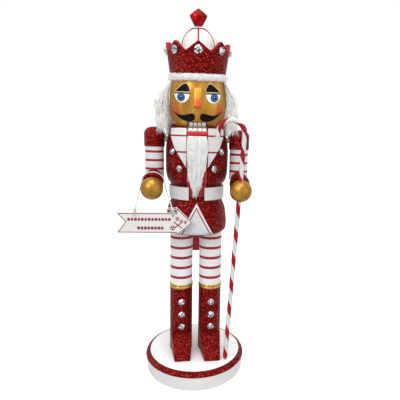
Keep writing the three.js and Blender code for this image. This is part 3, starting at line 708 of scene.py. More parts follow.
def wrapShape(name, outline, line, lift, thick, materials, cell=1.5, matrix=None, bevel=0.12):
    # a thin shape that follows a turned surface: the [x, z] outline is sliced into cells, wrapped
    # and thickened
    bm = bmesh.new()
    bm.faces.new([bm.verts.new((x * mm, 0, z * mm)) for x, z in outline])
    spans = [(min(p[i] for p in outline), max(p[i] for p in outline)) for i in (0, 1)]
    for axis, (low, high) in zip((Vector((1, 0, 0)), Vector((0, 0, 1))), spans):
        count = max(1, math.ceil((high - low) / cell))
        for i in range(1, count):
            at = (low + (high - low) * i / count) * mm
            bmesh.ops.bisect_plane(bm, geom=bm.verts[:] + bm.edges[:] + bm.faces[:], dist=1e-7,
                                   plane_co=axis * at, plane_no=axis)
    made = bmesh.ops.extrude_face_region(bm, geom=bm.faces[:])
    outside = set(vertsOf(made["geom"]))
    for v in bm.verts:
        reach = (radiusAt(line, v.co.z / mm) + lift + (thick if v in outside else 0)) * mm
        v.co.y = -math.sqrt(max(reach * reach - v.co.x * v.co.x, 1e-10))
    bmesh.ops.recalc_face_normals(bm, faces=bm.faces)
    if bevel:
        bevelEdges(bm, bevel, 2, 60)
    return makeObject(name, bm, materials, 35, matrix)


lapelSetup = {"inner": 10.6, "outer": [(26.4, 266.6), (26.6, 259), (22.3, 246.6), (11.0, 228.6)],
              "stripes": (227.4, 15.9, 1.7, 3), "gemRadius": 3.3,
              "gems": [(29.9, 258.6), (24.4, 243.6), (17.3, 226.8)]}


def makeLapels():
    start, pitch, width, count = lapelSetup["stripes"]
    striped = whiteShimmer("lapelStripes", 0.1, (start * mm, pitch * mm, width * mm, count))
    stoneLine = [(r + coatSetup["trim"] + coatSetup["gap"], z) for r, z in coatLine]
    for name, side in sides.items():
        outline = [(lapelSetup["inner"], 228.2)] + lapelSetup["outer"][::-1] + [(lapelSetup["inner"], 266.6)]
        outline = [(side * x, z) for x, z in outline]
        lapel = wrapShape(f"lapel_{name}_panel", outline, coatLine, 0.2, coatSetup["trim"], striped, 2.0,
                          bevel=0.3)
        settle(lapel, "figure", "white_paint", f"lapel_{name}")
        for i, (x, z) in enumerate(lapelSetup["gems"]):
            angle = side * math.asin(x / radiusAt(stoneLine, z))
            setStone(f"lapel_gem_{name}_{i + 1}", lapelSetup["gemRadius"], stoneLine, angle, z)


panelSetup = {"apex": 192.0, "half": 17.4, "foot": 159.7, "line": 1.8, "gap": 1.1}


def makeCoatPanel():
    size = panelSetup
    slope = (size["apex"] - size["foot"]) / size["half"]
    edgeRed = plainPaint("panelLineRed", (0.22, 0.003, 0.012))
    layers = [("coat_panel_edge", 0.0, 0.9, shimmer), ("coat_panel_line", size["line"], 1.05, edgeRed),
              ("coat_panel_field", size["line"] + size["gap"], 1.2,
               whiteShimmer("panelWhite", 0.12, paint=(0.60, 0.615, 0.64)))]
    for name, inset, thick, material in layers:
        drop = inset * math.hypot(1, slope)
        half = (size["apex"] - drop - size["foot"]) / slope
        outline = [(-half, size["foot"]), (half, size["foot"]), (0, size["apex"] - drop)]
        layer = wrapShape(name, outline, coatLine, 0.2, thick, material, 1.6, bevel=0.1)
        settle(layer, "figure", "white_paint", *(["coat_panel"] if inset == 0 else []))


makeCoat()
makeBelt()
makeLapels()
makeCoatPanel()
print("coat, belt, lapels and panel made")

jawSetup = {"width": 20.0, "chinTop": 263.4, "chinFront": 31.4, "lip": 3.6,
            "teethWidth": 18.2, "teethHeight": 3.1}
toothDepth = 3.6


def toothRow(start, pitch, gap, y, z, height):
    # four teeth side by side, the first at start
    bm = bmesh.new()
    for i in range(4):
        middle = Matrix.Translation(((start + pitch * (i + 0.5)) * mm, y * mm, z * mm))
        tooth = Matrix.Diagonal(((pitch - gap) * mm, toothDepth * mm, height * mm, 1))
        bmesh.ops.create_cube(bm, size=1, matrix=middle @ tooth)
    return bm


def makeJaw():
    size = jawSetup
    redPaint = plainPaint("jawRed", (0.40, 0.005, 0.02), 0.35)
    lipPaint = plainPaint("lipRed", (0.62, 0.02, 0.02), 0.3)
    low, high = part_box("jaw_lever")
    tail = high.y / mm
    front = -size["chinFront"]
    side = [(front, size["chinTop"]), (front, 214.6), (-25.2, 209.6), (-25.2, 197.2), (-16.2, 197.2),
            (-8, 226), (4, 236), (tail - 13, 226), (tail - 7, 205), (tail - 7, low.z / mm),
            (tail, low.z / mm), (tail, 158), (tail - 1.8, 190), (tail - 2, 238), (24, 252), (4, 257),
            (front + 6, size["chinTop"])]
    bm = plateSolid(side, -size["width"] / 2, size["width"] / 2, "X")
    bevelEdges(bm, 0.5, 2, 25)
    jaw = makeObject("jaw_lever_board", bm, redPaint)
    settle(jaw, "jaw", "red_paint", "jaw_lever")
    top = size["chinTop"]
    lip = boxSolid((-9.9, front - 0.9, top - size["lip"]), (9.9, front + 2, top + 0.1))
    bevelEdges(lip, 0.8, 3)
    settle(makeObject("lower_lip", lip, lipPaint), "jaw", "red_paint")
    enamel = plainPaint("enamelWhite", (0.88, 0.87, 0.84), 0.2, mottled=0.03)
    teeth = toothRow(-size["teethWidth"] / 2, size["teethWidth"] / 4, 0.5, front + 0.6,
                     top + size["teethHeight"] / 2, size["teethHeight"])
    bevelEdges(teeth, 0.9, 4)
    settle(makeObject("lower_teeth_row", teeth, enamel), "jaw", "white_paint", "lower_teeth")


furSetup = {"seed": 7, "strandRadius": 0.42}
beardSetup = {"strands": 1900, "steps": 9, "locks": 5, "shortest": 0.42, "longest": 1.02, "halfWidth": 8.8,
              "swell": 1.4, "taper": 3.6, "depth": 5.6}


def wave(seed, t, size):
    return size * noise.noise(Vector((seed * 3.17, t * 2.3, seed * 0.71)))


def makeBeard():
    size = beardSetup
    rng = random.Random(furSetup["seed"])
    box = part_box("beard")
    top, low = box[1].z / mm, box[0].z / mm
    back = box[1].y / mm
    lines = []
    for i in range(size["strands"]):
        across = rng.uniform(-1, 1)
        depth = rng.random()
        start = top - 0.6 - 7.0 * rng.random() ** 2
        length = (start - low) * rng.uniform(size["shortest"], size["longest"]) * (1 - 0.3 * across ** 2)
        lock = round(across * size["locks"])
        line = []
        for k in range(size["steps"] + 1):
            t = k / size["steps"]
            wide = size["halfWidth"] + size["swell"] * math.sin(math.pi * min(1, 1.2 * t))
            wide -= size["taper"] * t ** 3
            x = across * wide - 1.6 * t ** 2
            x += wave(lock + 31, t * 2.2, 4.5) * t + wave(i, t * 3, 1.6) * t
            bulge = math.sin(math.pi * min(1, t * 1.1 + 0.1))
            narrow = math.sqrt(max(0.1, 1 - 0.6 * across ** 2))
            y = back - 0.8 - (0.5 + depth * size["depth"]) * (0.45 + 0.55 * bulge) * narrow
            y += wave(i + 500, t * 3, 0.6)
            if abs(x) > 10:
                y -= 0.25 * (abs(x) - 10)
            radius = furSetup["strandRadius"] * 0.8 * (1 - 0.8 * t ** 2) * (0.8 + 0.4 * depth)
            line.append(((x, min(back - 0.3, y), start - length * t), radius))
        lines.append(line)
    beard = tubeMesh("beard_fur", lines, whiteFur, 0)
    settle(beard, "beard_hair", "white_fur", "beard")
    core = plateSolid([(-8.4, top - 1), (-9.0, 246), (-9.0, 232), (-8.2, 219), (-5.4, 210), (2.8, 209),
                       (6.4, 220), (8.6, 233), (9.2, 246), (8.4, top - 1)], back - 3.0, back - 0.4)
    bevelEdges(core, 1.2, 3)
    settle(makeObject("beard_underfur", core, whiteFur), "beard_hair", "white_fur")


makeJaw()
makeBeard()
print("jaw and beard made")

faceSetup = {"profile": [(24.8, 271.3), (27.4, 279), (28.7, 285), (29.2, 291), (28.9, 298), (27.8, 306),
                         (26.1, 314), (25.0, 322.4)], "mouth": (8.9, 276.0, 5.0), "mouthFront": -24.8,
             "noseWidth": 7.5, "noseTop": 308.0, "noseFoot": 289.3, "noseReach": 38.5,
             "cheek": (22.8, -18.5, 286.0), "brow": [(-22.0, 304.1), (-18.6, 307.4), (-15.2, 310.1),
                                                     (-12.2, 311.4), (-10.2, 310.6), (-8.6, 308.0),
                                                     (-7.7, 304.3)], "eye": (-15.2, 302.4, 7.4, 8.7),
             "iris": (-16.2, 298.7, 3.9), "lid": (-22.6, -7.3, 302.1, 303.2), "pupil": 1.5, "glint": 0.45,
             "moustache": [(-25.4, 286.0), (-20.8, 283.0), (-16.9, 281.8), (-13.0, 281.9), (-9.1, 283.0),
                           (-5.6, 283.8), (-3.4, 282.9), (-2.4, 280.2), (-3.2, 277.7), (-5.6, 276.4),
                           (-11.1, 276.2), (-15.9, 277.7), (-19.8, 280.5), (-22.8, 283.7)],}
headLine = roundLine(faceSetup["profile"], 6)


def closedCurve(points):
    # rounds the outline between its first point, which stays sharp, and back
    return roundLine(points + points[:1], 4)[:-1]


def turnAngles(count):
    return [2 * math.pi * i / count for i in range(count)]


def disc(middle, radius, count=28):
    return [(middle[0] + radius * math.cos(a), middle[1] + radius * math.sin(a)) for a in turnAngles(count)]


def makeHead():
    size = faceSetup
    half, mouthTop, depth = size["mouth"]
    front = size["mouthFront"]
    cx, cy, cz = size["cheek"]
    cheeks = [headTurn @ (Vector((s * cx, cy, cz)) * mm) for s in (-1, 1)]
    blush = (0.62, 0.10, 0.035)
    skin = goldSkin("faceGold", [(tuple(c), 2.5 * mm, 11 * mm, blush, 0.7) for c in cheeks], 1.3)
    line = [(0, headSeat), (24.2, headSeat), (24.6, headSeat + 0.3)] + headLine + [(24.4, 323), (0, 323)]
    head = makeObject("head_turned", spinSolid(line, 144), skin, 35)
    cutAway(head, boxSolid((-half, -40, headSeat - 2), (half, front + depth, mouthTop)))
    head.data.transform(headTurn)
    settle(head, "figure", "gold_paint", "head")


    noseTip = headTurn @ (Vector((0, -size["noseReach"], size["noseFoot"] + 3)) * mm)
    # the nose's gold is a brighter copy of the face's (1.8 against 1.3), painted light on the jutting nose;
    # the red towards its tip is blush paint
    noseSkin = goldSkin("noseLitGold", [(tuple(noseTip), 3 * mm, 11.5 * mm, (0.62, 0.08, 0.025), 0.85)], 1.8)
    side = [(-25.8, size["noseFoot"]), (-size["noseReach"] + 1.0, size["noseFoot"]),
            (-size["noseReach"], size["noseFoot"] + 1.8), (-size["noseReach"] + 1.8, size["noseFoot"] + 6.4),
            (-30.8, size["noseTop"]), (-25.8, size["noseTop"])]
    nose = plateSolid(side, -size["noseWidth"] / 2, size["noseWidth"] / 2, "X")
    bevelEdges(nose, 0.9, 4, 20)
    settle(makeObject("nose_block", nose, noseSkin, 40, headTurn), "figure", "gold_paint", "nose")

    darkRed = plainPaint("mouthRed", (0.16, 0.004, 0.012), 0.4)
    back = boxSolid((-half + 0.05, front + depth - 1.2, headSeat + 0.2),
                    (half - 0.05, front + depth - 0.05, mouthTop))
    settle(makeObject("mouth_back", back, darkRed, 35, headTurn), "figure", "red_paint")
    rim = [(-half - 0.9, headSeat + 0.9), (-half - 0.9, mouthTop + 0.9), (half + 0.9, mouthTop + 0.9),
           (half + 0.9, headSeat + 0.9), (half, headSeat + 0.9), (half, mouthTop), (-half, mouthTop),
           (-half, headSeat + 0.9)]
    frameLine = wrapShape("mouth_edge", rim, headLine, 0.05, 0.25, darkRed, 30, headTurn, bevel=0)
    settle(frameLine, "figure", "red_paint")
    # painted shade: the white upper teeth are painted grey for the shade of the mouth recess
    shadedEnamel = plainPaint("enamelShadedGrey", (0.62, 0.55, 0.50), 0.3, mottled=0.12, scale=500)
    teeth = toothRow(-half + 0.5, (2 * half - 1.0) / 4, 0.45, -23.6, 273.1, 4.4)
    bevelEdges(teeth, 0.8, 3)
    settle(makeObject("upper_teeth_row", teeth, shadedEnamel, 35, headTurn), "figure", "white_paint",
           "upper_teeth")


def makeFace():
    size = faceSetup
    black = plainPaint("browBlack", (0.004, 0.0035, 0.004), 0.6, Specular_IOR_Level=0.12)
    white = plainPaint("eyeWhite", (0.90, 0.90, 0.90), 0.25, mottled=0.02)
    pale = plainPaint("browEdge", (0.86, 0.64, 0.40), 0.4)
    blue = plainPaint("irisBlue", (0.015, 0.08, 0.30), 0.3, mottled=0.6, scale=900)
    ring = plainPaint("irisRim", (0.004, 0.015, 0.075), 0.3)

    def mark(name, outline, lift, thick, material, side, cell=2.0):
        shape = [(p[0] * -side, p[1]) for p in outline]
        piece = wrapShape(f"{name}_{'left' if side < 0 else 'right'}", shape, headLine, lift, thick,
                          material, cell, headTurn, bevel=0)
        settle(piece, "figure", "gold_paint")

    for side in (-1, 1):
        brow = roundLine(size["brow"], 4)
        edge = [(x + (0.25 if x > -12 else -0.25), z + 0.45) for x, z in brow]
        edge = [(brow[0][0] - 0.3, brow[0][1])] + edge + [(brow[-1][0] + 0.35, brow[-1][1])]
        mark("brow_edge", edge, 0.02, 0.12, pale, side)
        mark("brow", brow, 0.04, 0.32, black, side)
        x0, x1, z0, z1 = size["lid"]
        mark("lid_light", [(x0 + 0.4, z1), (x1 - 0.4, z1), (x1 - 0.4, z1 + 0.7), (x0 + 0.4, z1 + 0.7)],
             0.02, 0.12, pale, side)
        mark("lid_line", [(x0, z0), (x1, z0), (x1, z1), (x0, z1)], 0.04, 0.4, black, side)
        cx, cz, rx, rz = size["eye"]
        count = 24
        eye = [(cx + rx * math.cos(math.pi + math.pi * i / count),
                cz + rz * math.sin(math.pi + math.pi * i / count)) for i in range(count + 1)]
        mark("eye_white", eye, 0.03, 0.17, white, side)
        mark("eye_rim", disc(size["iris"][:2], size["iris"][2]), 0.06, 0.24, ring, side, 1.2)
        mark("iris", disc(size["iris"][:2], size["iris"][2] - 0.45), 0.06, 0.34, blue, side, 1.2)
        mark("pupil", disc(size["iris"][:2], size["pupil"], 20), 0.06, 0.42, black, side, 1.2)
        glint = (size["iris"][0] - 0.1 * side, size["iris"][1] + 0.5)
        mark("glint", disc(glint, size["glint"], 12), 0.06, 0.5, white, side, 1.2)
        mark("moustache", closedCurve(size["moustache"]), 0.04, 0.42, black, side)


makeHead()
makeFace()
print("head and face made")

hairSetup = {
    "mass": [(27.6, 313.5), (32.0, 308), (37.0, 300), (39.0, 291), (37.5, 282), (37.5, 272), (36.4, 262)],
    "shell": [(28.5, 315), (33.5, 310), (39.5, 302), (42.3, 292), (39.6, 283), (40.8, 274), (39.5, 262),
              (37.5, 256)],
    "strands": 2600, "steps": 8, "halfTurn": 108, "cheekStart": 84, "shoulderStart": 58, "top": 314.5,
    "spread": 34, "napeFoot": 257, "shoulderFoot": 267.5, "lockStrands": 170,
}


def makeHair():
    size = hairSetup
    rng = random.Random(furSetup["seed"] + 1)
    mass = roundLine(size["mass"], 4)
    bm = bmesh.new()
    verts = [bm.verts.new((0, r * mm, z * mm)) for r, z in mass]
    for pair in zip(verts, verts[1:]):
        bm.edges.new(pair)
    start = math.radians(104)
    bmesh.ops.rotate(bm, verts=bm.verts, cent=(0, 0, 0), matrix=Matrix.Rotation(-start, 3, "Z"))
    bmesh.ops.spin(bm, geom=bm.verts[:] + bm.edges[:], cent=(0, 0, 0), axis=(0, 0, 1), angle=2 * start,
                   steps=60)
    for v in bm.verts:
        angle = math.atan2(v.co.x, v.co.y)
        bump = noise.noise(Vector((angle * 5, v.co.z / mm / 22, 3.1)))
        v.co.xy *= 1 + 0.035 * bump
        if abs(angle) > math.radians(62):   # over the shoulders the hair stops short
            v.co.z = max(v.co.z, 271.5 * mm)
    bmesh.ops.remove_doubles(bm, verts=bm.verts, dist=2e-5)
    bmesh.ops.recalc_face_normals(bm, faces=bm.faces)
    under = makeObject("hair_underfur", bm, whiteFur, 60, headTurn)
    thick = under.modifiers.new("thick", "SOLIDIFY")
    thick.thickness, thick.offset = 1.6 * mm, 1.0
    applyModifiers(under, 60)
    settle(under, "figure", "white_fur")

    shell = roundLine(size["shell"], 5)[::-1]
    lines = []
    for i in range(size["strands"]):
        around = rng.uniform(-1, 1) * size["halfTurn"]
        # beside the face the strands fill in
        cheek = rng.random() if abs(around) > size["cheekStart"] or rng.random() < 0.1 else 1.0
        level = rng.random() ** 1.3
        top = size["top"] - size["spread"] * level
        foot = size["napeFoot"] if abs(around) < size["shoulderStart"] else size["shoulderFoot"]
        low = min(max(foot + rng.uniform(-1, 13), foot), top - 12)
        lines.append(hairStrand(rng, shell, around, top, low, round(around / 9), i, cheek ** 0.7))
    hair = tubeMesh("hair_fur", lines, whiteFur, 0)
    hair.data.transform(headTurn)
    settle(hair, "figure", "white_fur", "hair")
    makeLocks(rng)


def hairStrand(rng, shell, around, top, low, lock, i, fullness):
    line = []
    loose = rng.uniform(-2.0, 1.6)
    leftSwell = 2.6 if around < 0 else 0.6       # the hair stands out further on the left
    for k in range(hairSetup["steps"] + 1):
        t = k / hairSetup["steps"]
        z = top + (low - top) * t
        angle = around + wave(lock + 11, t * 1.6, 16) * t + wave(i, t * 2, 7) * t
        angle = math.radians(max(-112, min(112, angle)))
        r = radiusAt(shell, z) + leftSwell * math.sin(math.pi * min(1, max(0, (314 - z) / 48)))
        r += -3.2 * (1 - t) ** 2 + loose * t + wave(lock + 70, t * 2.4 + 1, 3.4) * t
        inner = radiusAt(headLine, min(z, 322)) + 0.7 if z > 272 else 34.6
        r = max(inner, inner + (r - inner) * fullness)
        radius = furSetup["strandRadius"] * 1.1 * (1 - 0.8 * t ** 2.5)
        line.append(((r * math.sin(angle), r * math.cos(angle), z), radius))
    return line


def makeLocks(rng):
    # loose tufts that fall forward over the shoulders
    lines = []
    for side in (-1, 1):
        for i in range(hairSetup["lockStrands"]):
            reach = rng.random()
            start = Vector((side * rng.uniform(29.5, 37), rng.uniform(-9, 8), rng.uniform(272, 284)))
            end = Vector((side * rng.uniform(29, 41), rng.uniform(-24, -12), rng.uniform(263.5, 272)))
            if side > 0:
                end.z -= 6 * reach * (end.x < 34)
            bow = Vector((side * 1.5, -3.5 - 2 * reach, 4.5))
            line = []
            for k in range(7):
                t = k / 6
                place = start.lerp(end, t) + bow * math.sin(math.pi * t) * 0.6
                place.x += wave(i, t * 3, 1.8) * t
                place.y += wave(i + 90, t * 3, 1.8) * t
                place.y = min(place.y, 9)
                if place.z < 269 and abs(place.x) > 33:
                    place.z = 268.8 - 0.06 * (place.y + 6) ** 2 / 2 + rng.uniform(0, 0.6)
                line.append((tuple(place), 0.36 * (1 - 0.8 * t ** 2)))
            lines.append(line)
    locks = tubeMesh("hair_locks", lines, whiteFur, 0)
    settle(locks, "figure", "white_fur")


makeHair()
print("hair made")

crownSetup = {
    "footRadius": 28.4, "topRadius": 31.8, "wall": 5.0, "innerFoot": 25.5, "foot": 321.45,
    "valley": 341.0, "tip": 350.2, "points": 8, "gemRadius": 4.0, "gemHeight": 342.0, "brimFoot": 314.4,
    "brimHeight": 7.0, "brimRadius": 30.0, "brimStrands": 3000, "brimCore": (2.1, 2.9), "cordRadius": 0.8,
}


def zigzag(angle):
    pitch = 2 * math.pi / crownSetup["points"]
    share = abs(((angle / pitch + 0.5) % 1) - 0.5) * 2      # 0 at a tip, 1 in a valley
    return crownSetup["tip"] - (crownSetup["tip"] - crownSetup["valley"]) * share ** 0.92


def makeCrown():
    size = crownSetup

    rise = size["tip"] - size["foot"]
    line = [(size["footRadius"], size["foot"])]
    line += [(size["footRadius"] + (size["topRadius"] - size["footRadius"]) * i / 5,
              size["foot"] + rise * i / 5) for i in range(1, 6)]
    inside = size["topRadius"] - size["wall"]
    line += [(size["innerFoot"] + (inside - size["innerFoot"]) * i / 5, size["foot"] + rise * i / 5)
             for i in range(5, -1, -1)]
    bm = spinSolid(line, 192, True)
    for v in bm.verts:
        share = (v.co.z / mm - size["foot"]) / rise
        angle = math.atan2(v.co.x, -v.co.y)
        v.co.z = (size["foot"] + share * (zigzag(angle) - size["foot"])) * mm
    inner = plainPaint("crownInside", (0.34, 0.002, 0.006), 0.6, Specular_IOR_Level=0.2)
    bm.normal_update()
    for face in bm.faces:
        outward = face.normal.xy.dot(face.calc_center_median().xy.normalized())
        face.material_index = 0 if outward > 0.7 else 1
    bevelEdges(bm, 0.3, 2, 50)
    crown = makeObject("crown_ring", bm, [redGlitter, inner], 35, headTurn)
    settle(crown, "figure", "red_glitter", "crown")
    wall = [(size["footRadius"], size["foot"]), (size["topRadius"], size["tip"])]
    for i in range(size["points"]):
        setStone(f"crown_gem_{i + 1}", size["gemRadius"], wall, 2 * math.pi * i / size["points"],
                 size["gemHeight"], headTurn)


def makeBrim():
    size = crownSetup
    rng = random.Random(furSetup["seed"] + 2)
    middle = size["brimFoot"] + size["brimHeight"] / 2
    out = size["brimRadius"] - 2.7
    deep, tall = size["brimCore"]
    section = [(out + deep * math.cos(a), middle + tall * math.sin(a)) for a in turnAngles(20)]
    bm = spinSolid(section, 120, True)
    for v in bm.verts:
        v.co += v.co.normalized() * 0.5 * mm * noise.noise(v.co * 400)
    core = makeObject("crown_brim_core", bm, whiteFur, 80, headTurn)
    settle(core, "figure", "white_fur")
    lines = []
    for _ in range(size["brimStrands"]):
        around = rng.uniform(0, 2 * math.pi)
        tilt = rng.uniform(-1.45, 1.45)
        root = Vector((out + 1.9 * math.cos(tilt), 0, middle + 2.7 * math.sin(tilt)))
        aim = Vector((math.cos(tilt), rng.uniform(-0.9, 0.9), math.sin(tilt) * 0.9 - 0.25)).normalized()
        length = rng.uniform(0.9, 1.7)
        line = []
        for k in range(3):
            t = k / 2
            place = root + aim * length * t + Vector((0, 0, -0.25 * t * t))
            place.rotate(Matrix.Rotation(around, 3, "Z"))
            line.append((tuple(place), 0.3 * (1 - 0.8 * t)))
        lines.append(line)
    brim = tubeMesh("crown_brim_fur", lines, whiteFur, 0)
    brim.data.transform(headTurn)
    settle(brim, "figure", "white_fur", "crown_brim")


capSetup = {
    "profile": [(25.0, 325.0), (25.3, 333), (24.0, 337.5), (21.2, 341), (18.8, 344.5), (17.4, 350),
                (14.7, 355.5), (10.2, 360), (6, 362.4), (0, 363.0)],
    "swell": 0.13, "pinch": 0.03, "low": 337.0, "full": 344.0,
}
finialTiers = [(3.9, 365.6, 0), (8.6, 373.2, 0.5), (8.9, 375.6, 0), (5.2, 378.6, 0.5), (0.5, 381.7, 0)]


def makeCap():
    # the cap is drawn in along the cords and swells between them
    size = capSetup
    line = [(0, 323.4), (24.2, 323.4)] + roundLine(size["profile"], 7)
    bm = spinSolid(line, 144)
    for v in bm.verts:
        height = v.co.z / mm
        share = min(1, max(0, (height - size["low"]) / (size["full"] - size["low"])))
        share *= min(1, max(0.25, (365.5 - height) / 9))
        angle = math.atan2(v.co.x, -v.co.y)
        puff = abs(math.sin(3 * angle)) ** 0.62
        crease = noise.noise(Vector((angle * 9, height / 3.5, 1.7))) * 0.014 * (1 - puff * 0.6)
        v.co.xy *= 1 + share * ((size["swell"] + size["pinch"]) * puff - size["pinch"] + crease)
        v.co.z += 1.0 * mm * puff * share * (height > 350)
    cap = makeObject("crown_cap_padded", bm, satinCloth(), 80, headTurn)
    settle(cap, "figure", "white_fur", "crown_cap")


def makeArches():
    radius = crownSetup["cordRadius"]
    arc = roundLine([(r * 0.97 + 0.35 * min(1, r / 6), z + 0.75 * (1 - r / 26))
                     for r, z in capSetup["profile"][3:]], 6)
    lines = []
    for i in range(3):
        turn = Matrix.Rotation(math.pi / 2 + i * math.pi / 3, 3, "Z")
        whole = [Vector((-r, 0, z)) for r, z in arc] + [Vector((r, 0, z)) for r, z in arc[-2::-1]]
        lines.append([(tuple(turn @ p), radius) for p in whole])
    arches = tubeMesh("crown_arches_cord", lines, cordGlitter, 3)
    arches.data.transform(headTurn)
    settle(arches, "figure", "red_cord", "crown_arches")


def makeFinial():
    bm = bmesh.new()
    for r, z, offset in finialTiers:
        for i in range(8):
            angle = 2 * math.pi * (i + offset) / 8
            bm.verts.new((r * math.cos(angle) * mm, r * math.sin(angle) * mm, z * mm))
    bmesh.ops.convex_hull(bm, input=bm.verts)
    bmesh.ops.dissolve_limit(bm, angle_limit=0.02, verts=bm.verts, edges=bm.edges)
    bmesh.ops.recalc_face_normals(bm, faces=bm.faces)
    settle(makeObject("finial_gem_cut", bm, rubyStone(), 0, headTurn), "figure", "red_stone", "finial_gem")


makeCrown()
makeBrim()
makeCap()
makeArches()
makeFinial()
print("crown made")

armSetup = {"reach": 43.9, "y": -6.0, "top": 267.6, "capRadius": 10.5, "capFoot": 247.6, "sleeve": 9.6,
            "sleeveFoot": 216.0, "drop": {"left": 0.0, "right": 1.6},
            "hand": {"left": 207.3, "right": 205.8}, "handRadius": 11.2, "handY": -34.0,
            "gripRadius": 2.95, "stripeWidth": 2.4, "cuffRadius": 10.3, "cuffLength": 5.5, "forearm": 7.5,
            "stripes": {"left": (225.0, 8.75), "right": (223.4, 8.7)}}
staffSetup = {"foot": (32.7, -28.5, 20.4), "shoulder": (45.95, -35.65, 261.3), "hook": 13.0, "drop": 5.5,
              "radius": 2.5, "pitch": 27.0, "redShare": 0.45, "columns": 20}


def pointAlong(axis):
    return Vector((0, 0, 1)).rotation_difference(axis).to_matrix().to_4x4()


def makeArm(name, side):
    size = armSetup
    drop = size["drop"][name]
    x, top, foot = side * size["reach"], size["top"] - drop, size["capFoot"] - drop
    r = size["capRadius"]
    dome = [(r * math.cos(a) ** 0.8, top - 7 + 7 * math.sin(a))
            for a in [math.pi / 2 * i / 12 for i in range(12)]]
    line = [(0, size["sleeveFoot"] - drop), (size["sleeve"], size["sleeveFoot"] - drop),
            (size["sleeve"], foot), (r - 0.4, foot), (r, foot + 0.5), (r, top - 8)] + dome + [(0, top)]
    start, pitch = size["stripes"][name]
    striped = whiteShimmer(f"sleeveStripes_{name}", 0.1,
                           (start * mm, pitch * mm, size["stripeWidth"] * mm, 3))
    turnedPiece(f"upper_arm_{name}_turned", line, [striped, redGlitter], "figure", "striped_paint",
                f"upper_arm_{name}", matrix=Matrix.Translation(Vector((x, size["y"], 0)) * mm),
                split=lambda out, z: z > foot - 0.2 and out > 0.1)
    hand = Vector((x, size["handY"], size["hand"][name]))
    elbow = Vector((x, size["y"], size["sleeveFoot"] - drop + 4))
    along = (hand - elbow).normalized()
    reach = (hand - elbow).length - size["handRadius"] + 0.5
    cuff, length = size["cuffRadius"], size["cuffLength"]
    arm = [(0, 0), (size["forearm"], 0), (size["forearm"] + 1.2, reach - length - 0.5),
           (cuff - 0.5, reach - length), (cuff, reach - length + 0.5), (cuff, reach - 0.6),
           (cuff - 0.6, reach), (0, reach)]
    place = Matrix.Translation(elbow * mm) @ pointAlong(along)
    turnedPiece(f"forearm_{name}_turned", arm, redGlitter, "figure", "red_glitter", f"forearm_{name}",
                matrix=place)
    bm = bmesh.new()
    bmesh.ops.create_uvsphere(bm, u_segments=64, v_segments=40, radius=size["handRadius"] * mm)
    palm = makeObject(f"hand_{name}_ball", bm, handGold, 60, Matrix.Translation(hand * mm))
    if side > 0:
        foot, shoulder = Vector(staffSetup["foot"]), Vector(staffSetup["shoulder"])
        axis = (shoulder - foot).normalized()
        middle = foot + axis * ((hand.z - foot.z) / axis.z)
        place = Matrix.Translation(middle * mm) @ pointAlong(axis)
        cutAway(palm, drill(size["gripRadius"], 60, 40, place), smooth=50)
    settle(palm, "figure", "gold_paint", f"hand_{name}")


def staffPath():
    foot, top = Vector(staffSetup["foot"]), Vector(staffSetup["shoulder"])
    up = (top - foot).normalized()
    inward = (Vector((-1, 0, 0)) + up * up.x).normalized()
    points = [foot.lerp(top, i / 80) for i in range(81)]
    centre = top + inward * staffSetup["hook"]
    for i in range(1, 25):
        angle = math.pi * i / 24
        points.append(centre - inward * staffSetup["hook"] * math.cos(angle)
                      + up * staffSetup["hook"] * math.sin(angle))
    end = points[-1]
    points += [end - up * staffSetup["drop"] * i / 3 for i in range(1, 4)]
    return points


def makeStaff():
    # the ring is turned a little at every step, so the stripe's edges are the mesh's own edges
    size = staffSetup
    points = staffPath()
    bm = bmesh.new()
    bmesh.ops.create_circle(bm, cap_ends=True, segments=size["columns"], radius=size["radius"] * mm)
    ring = bm.edges[:]
    place = Matrix.Identity(4)
    side, along = Vector((0, -1, 0)), 0.0
    for i, point in enumerate(points):
        ahead = (points[min(i + 1, len(points) - 1)] - points[max(i - 1, 0)]).normalized()
        along += (point - points[i - 1]).length if i else 0.0
        side = (side - ahead * side.dot(ahead)).normalized()
        frameAxes = Matrix((side, ahead.cross(side), ahead)).transposed().to_4x4()
        turn = Matrix.Rotation(-2 * math.pi * along / size["pitch"], 4, "Z")
        ends = 0.6 if i in (0, len(points) - 1) else 1.0
        target = Matrix.Translation(point * mm) @ frameAxes @ turn @ Matrix.Diagonal((ends, ends, 1, 1))
        if i:
            made = bmesh.ops.extrude_edge_only(bm, edges=ring)["geom"]
            verts = vertsOf(made)
            edges = [e for e in made if isinstance(e, bmesh.types.BMEdge)]
            ring = [e for e in edges if all(v in verts for v in e.verts)]
        else:
            made, verts = [], bm.verts[:]
        bmesh.ops.transform(bm, matrix=target @ place.inverted(), verts=verts)
        for face in [f for f in made if isinstance(f, bmesh.types.BMFace)]:
            local = target.inverted() @ face.calc_center_median()
            if (math.atan2(local.y, local.x) / (2 * math.pi)) % 1 < size["redShare"]:
                face.material_index = 1
        place = target
    bmesh.ops.contextual_create(bm, geom=ring)
    bmesh.ops.recalc_face_normals(bm, faces=bm.faces)
    white = plainPaint("caneWhite", (0.64, 0.67, 0.65), 0.3, mottled=0.03)
    redPaint = plainPaint("caneRed", (0.32, 0.001, 0.010), 0.35, Specular_IOR_Level=0.25)
    settle(makeObject("candy_cane_staff_striped", bm, [white, redPaint], 50), "staff", "cane_paint",
           "candy_cane_staff")


for name, side in sides.items():
    makeArm(name, side)
makeStaff()
print("arms and staff made")

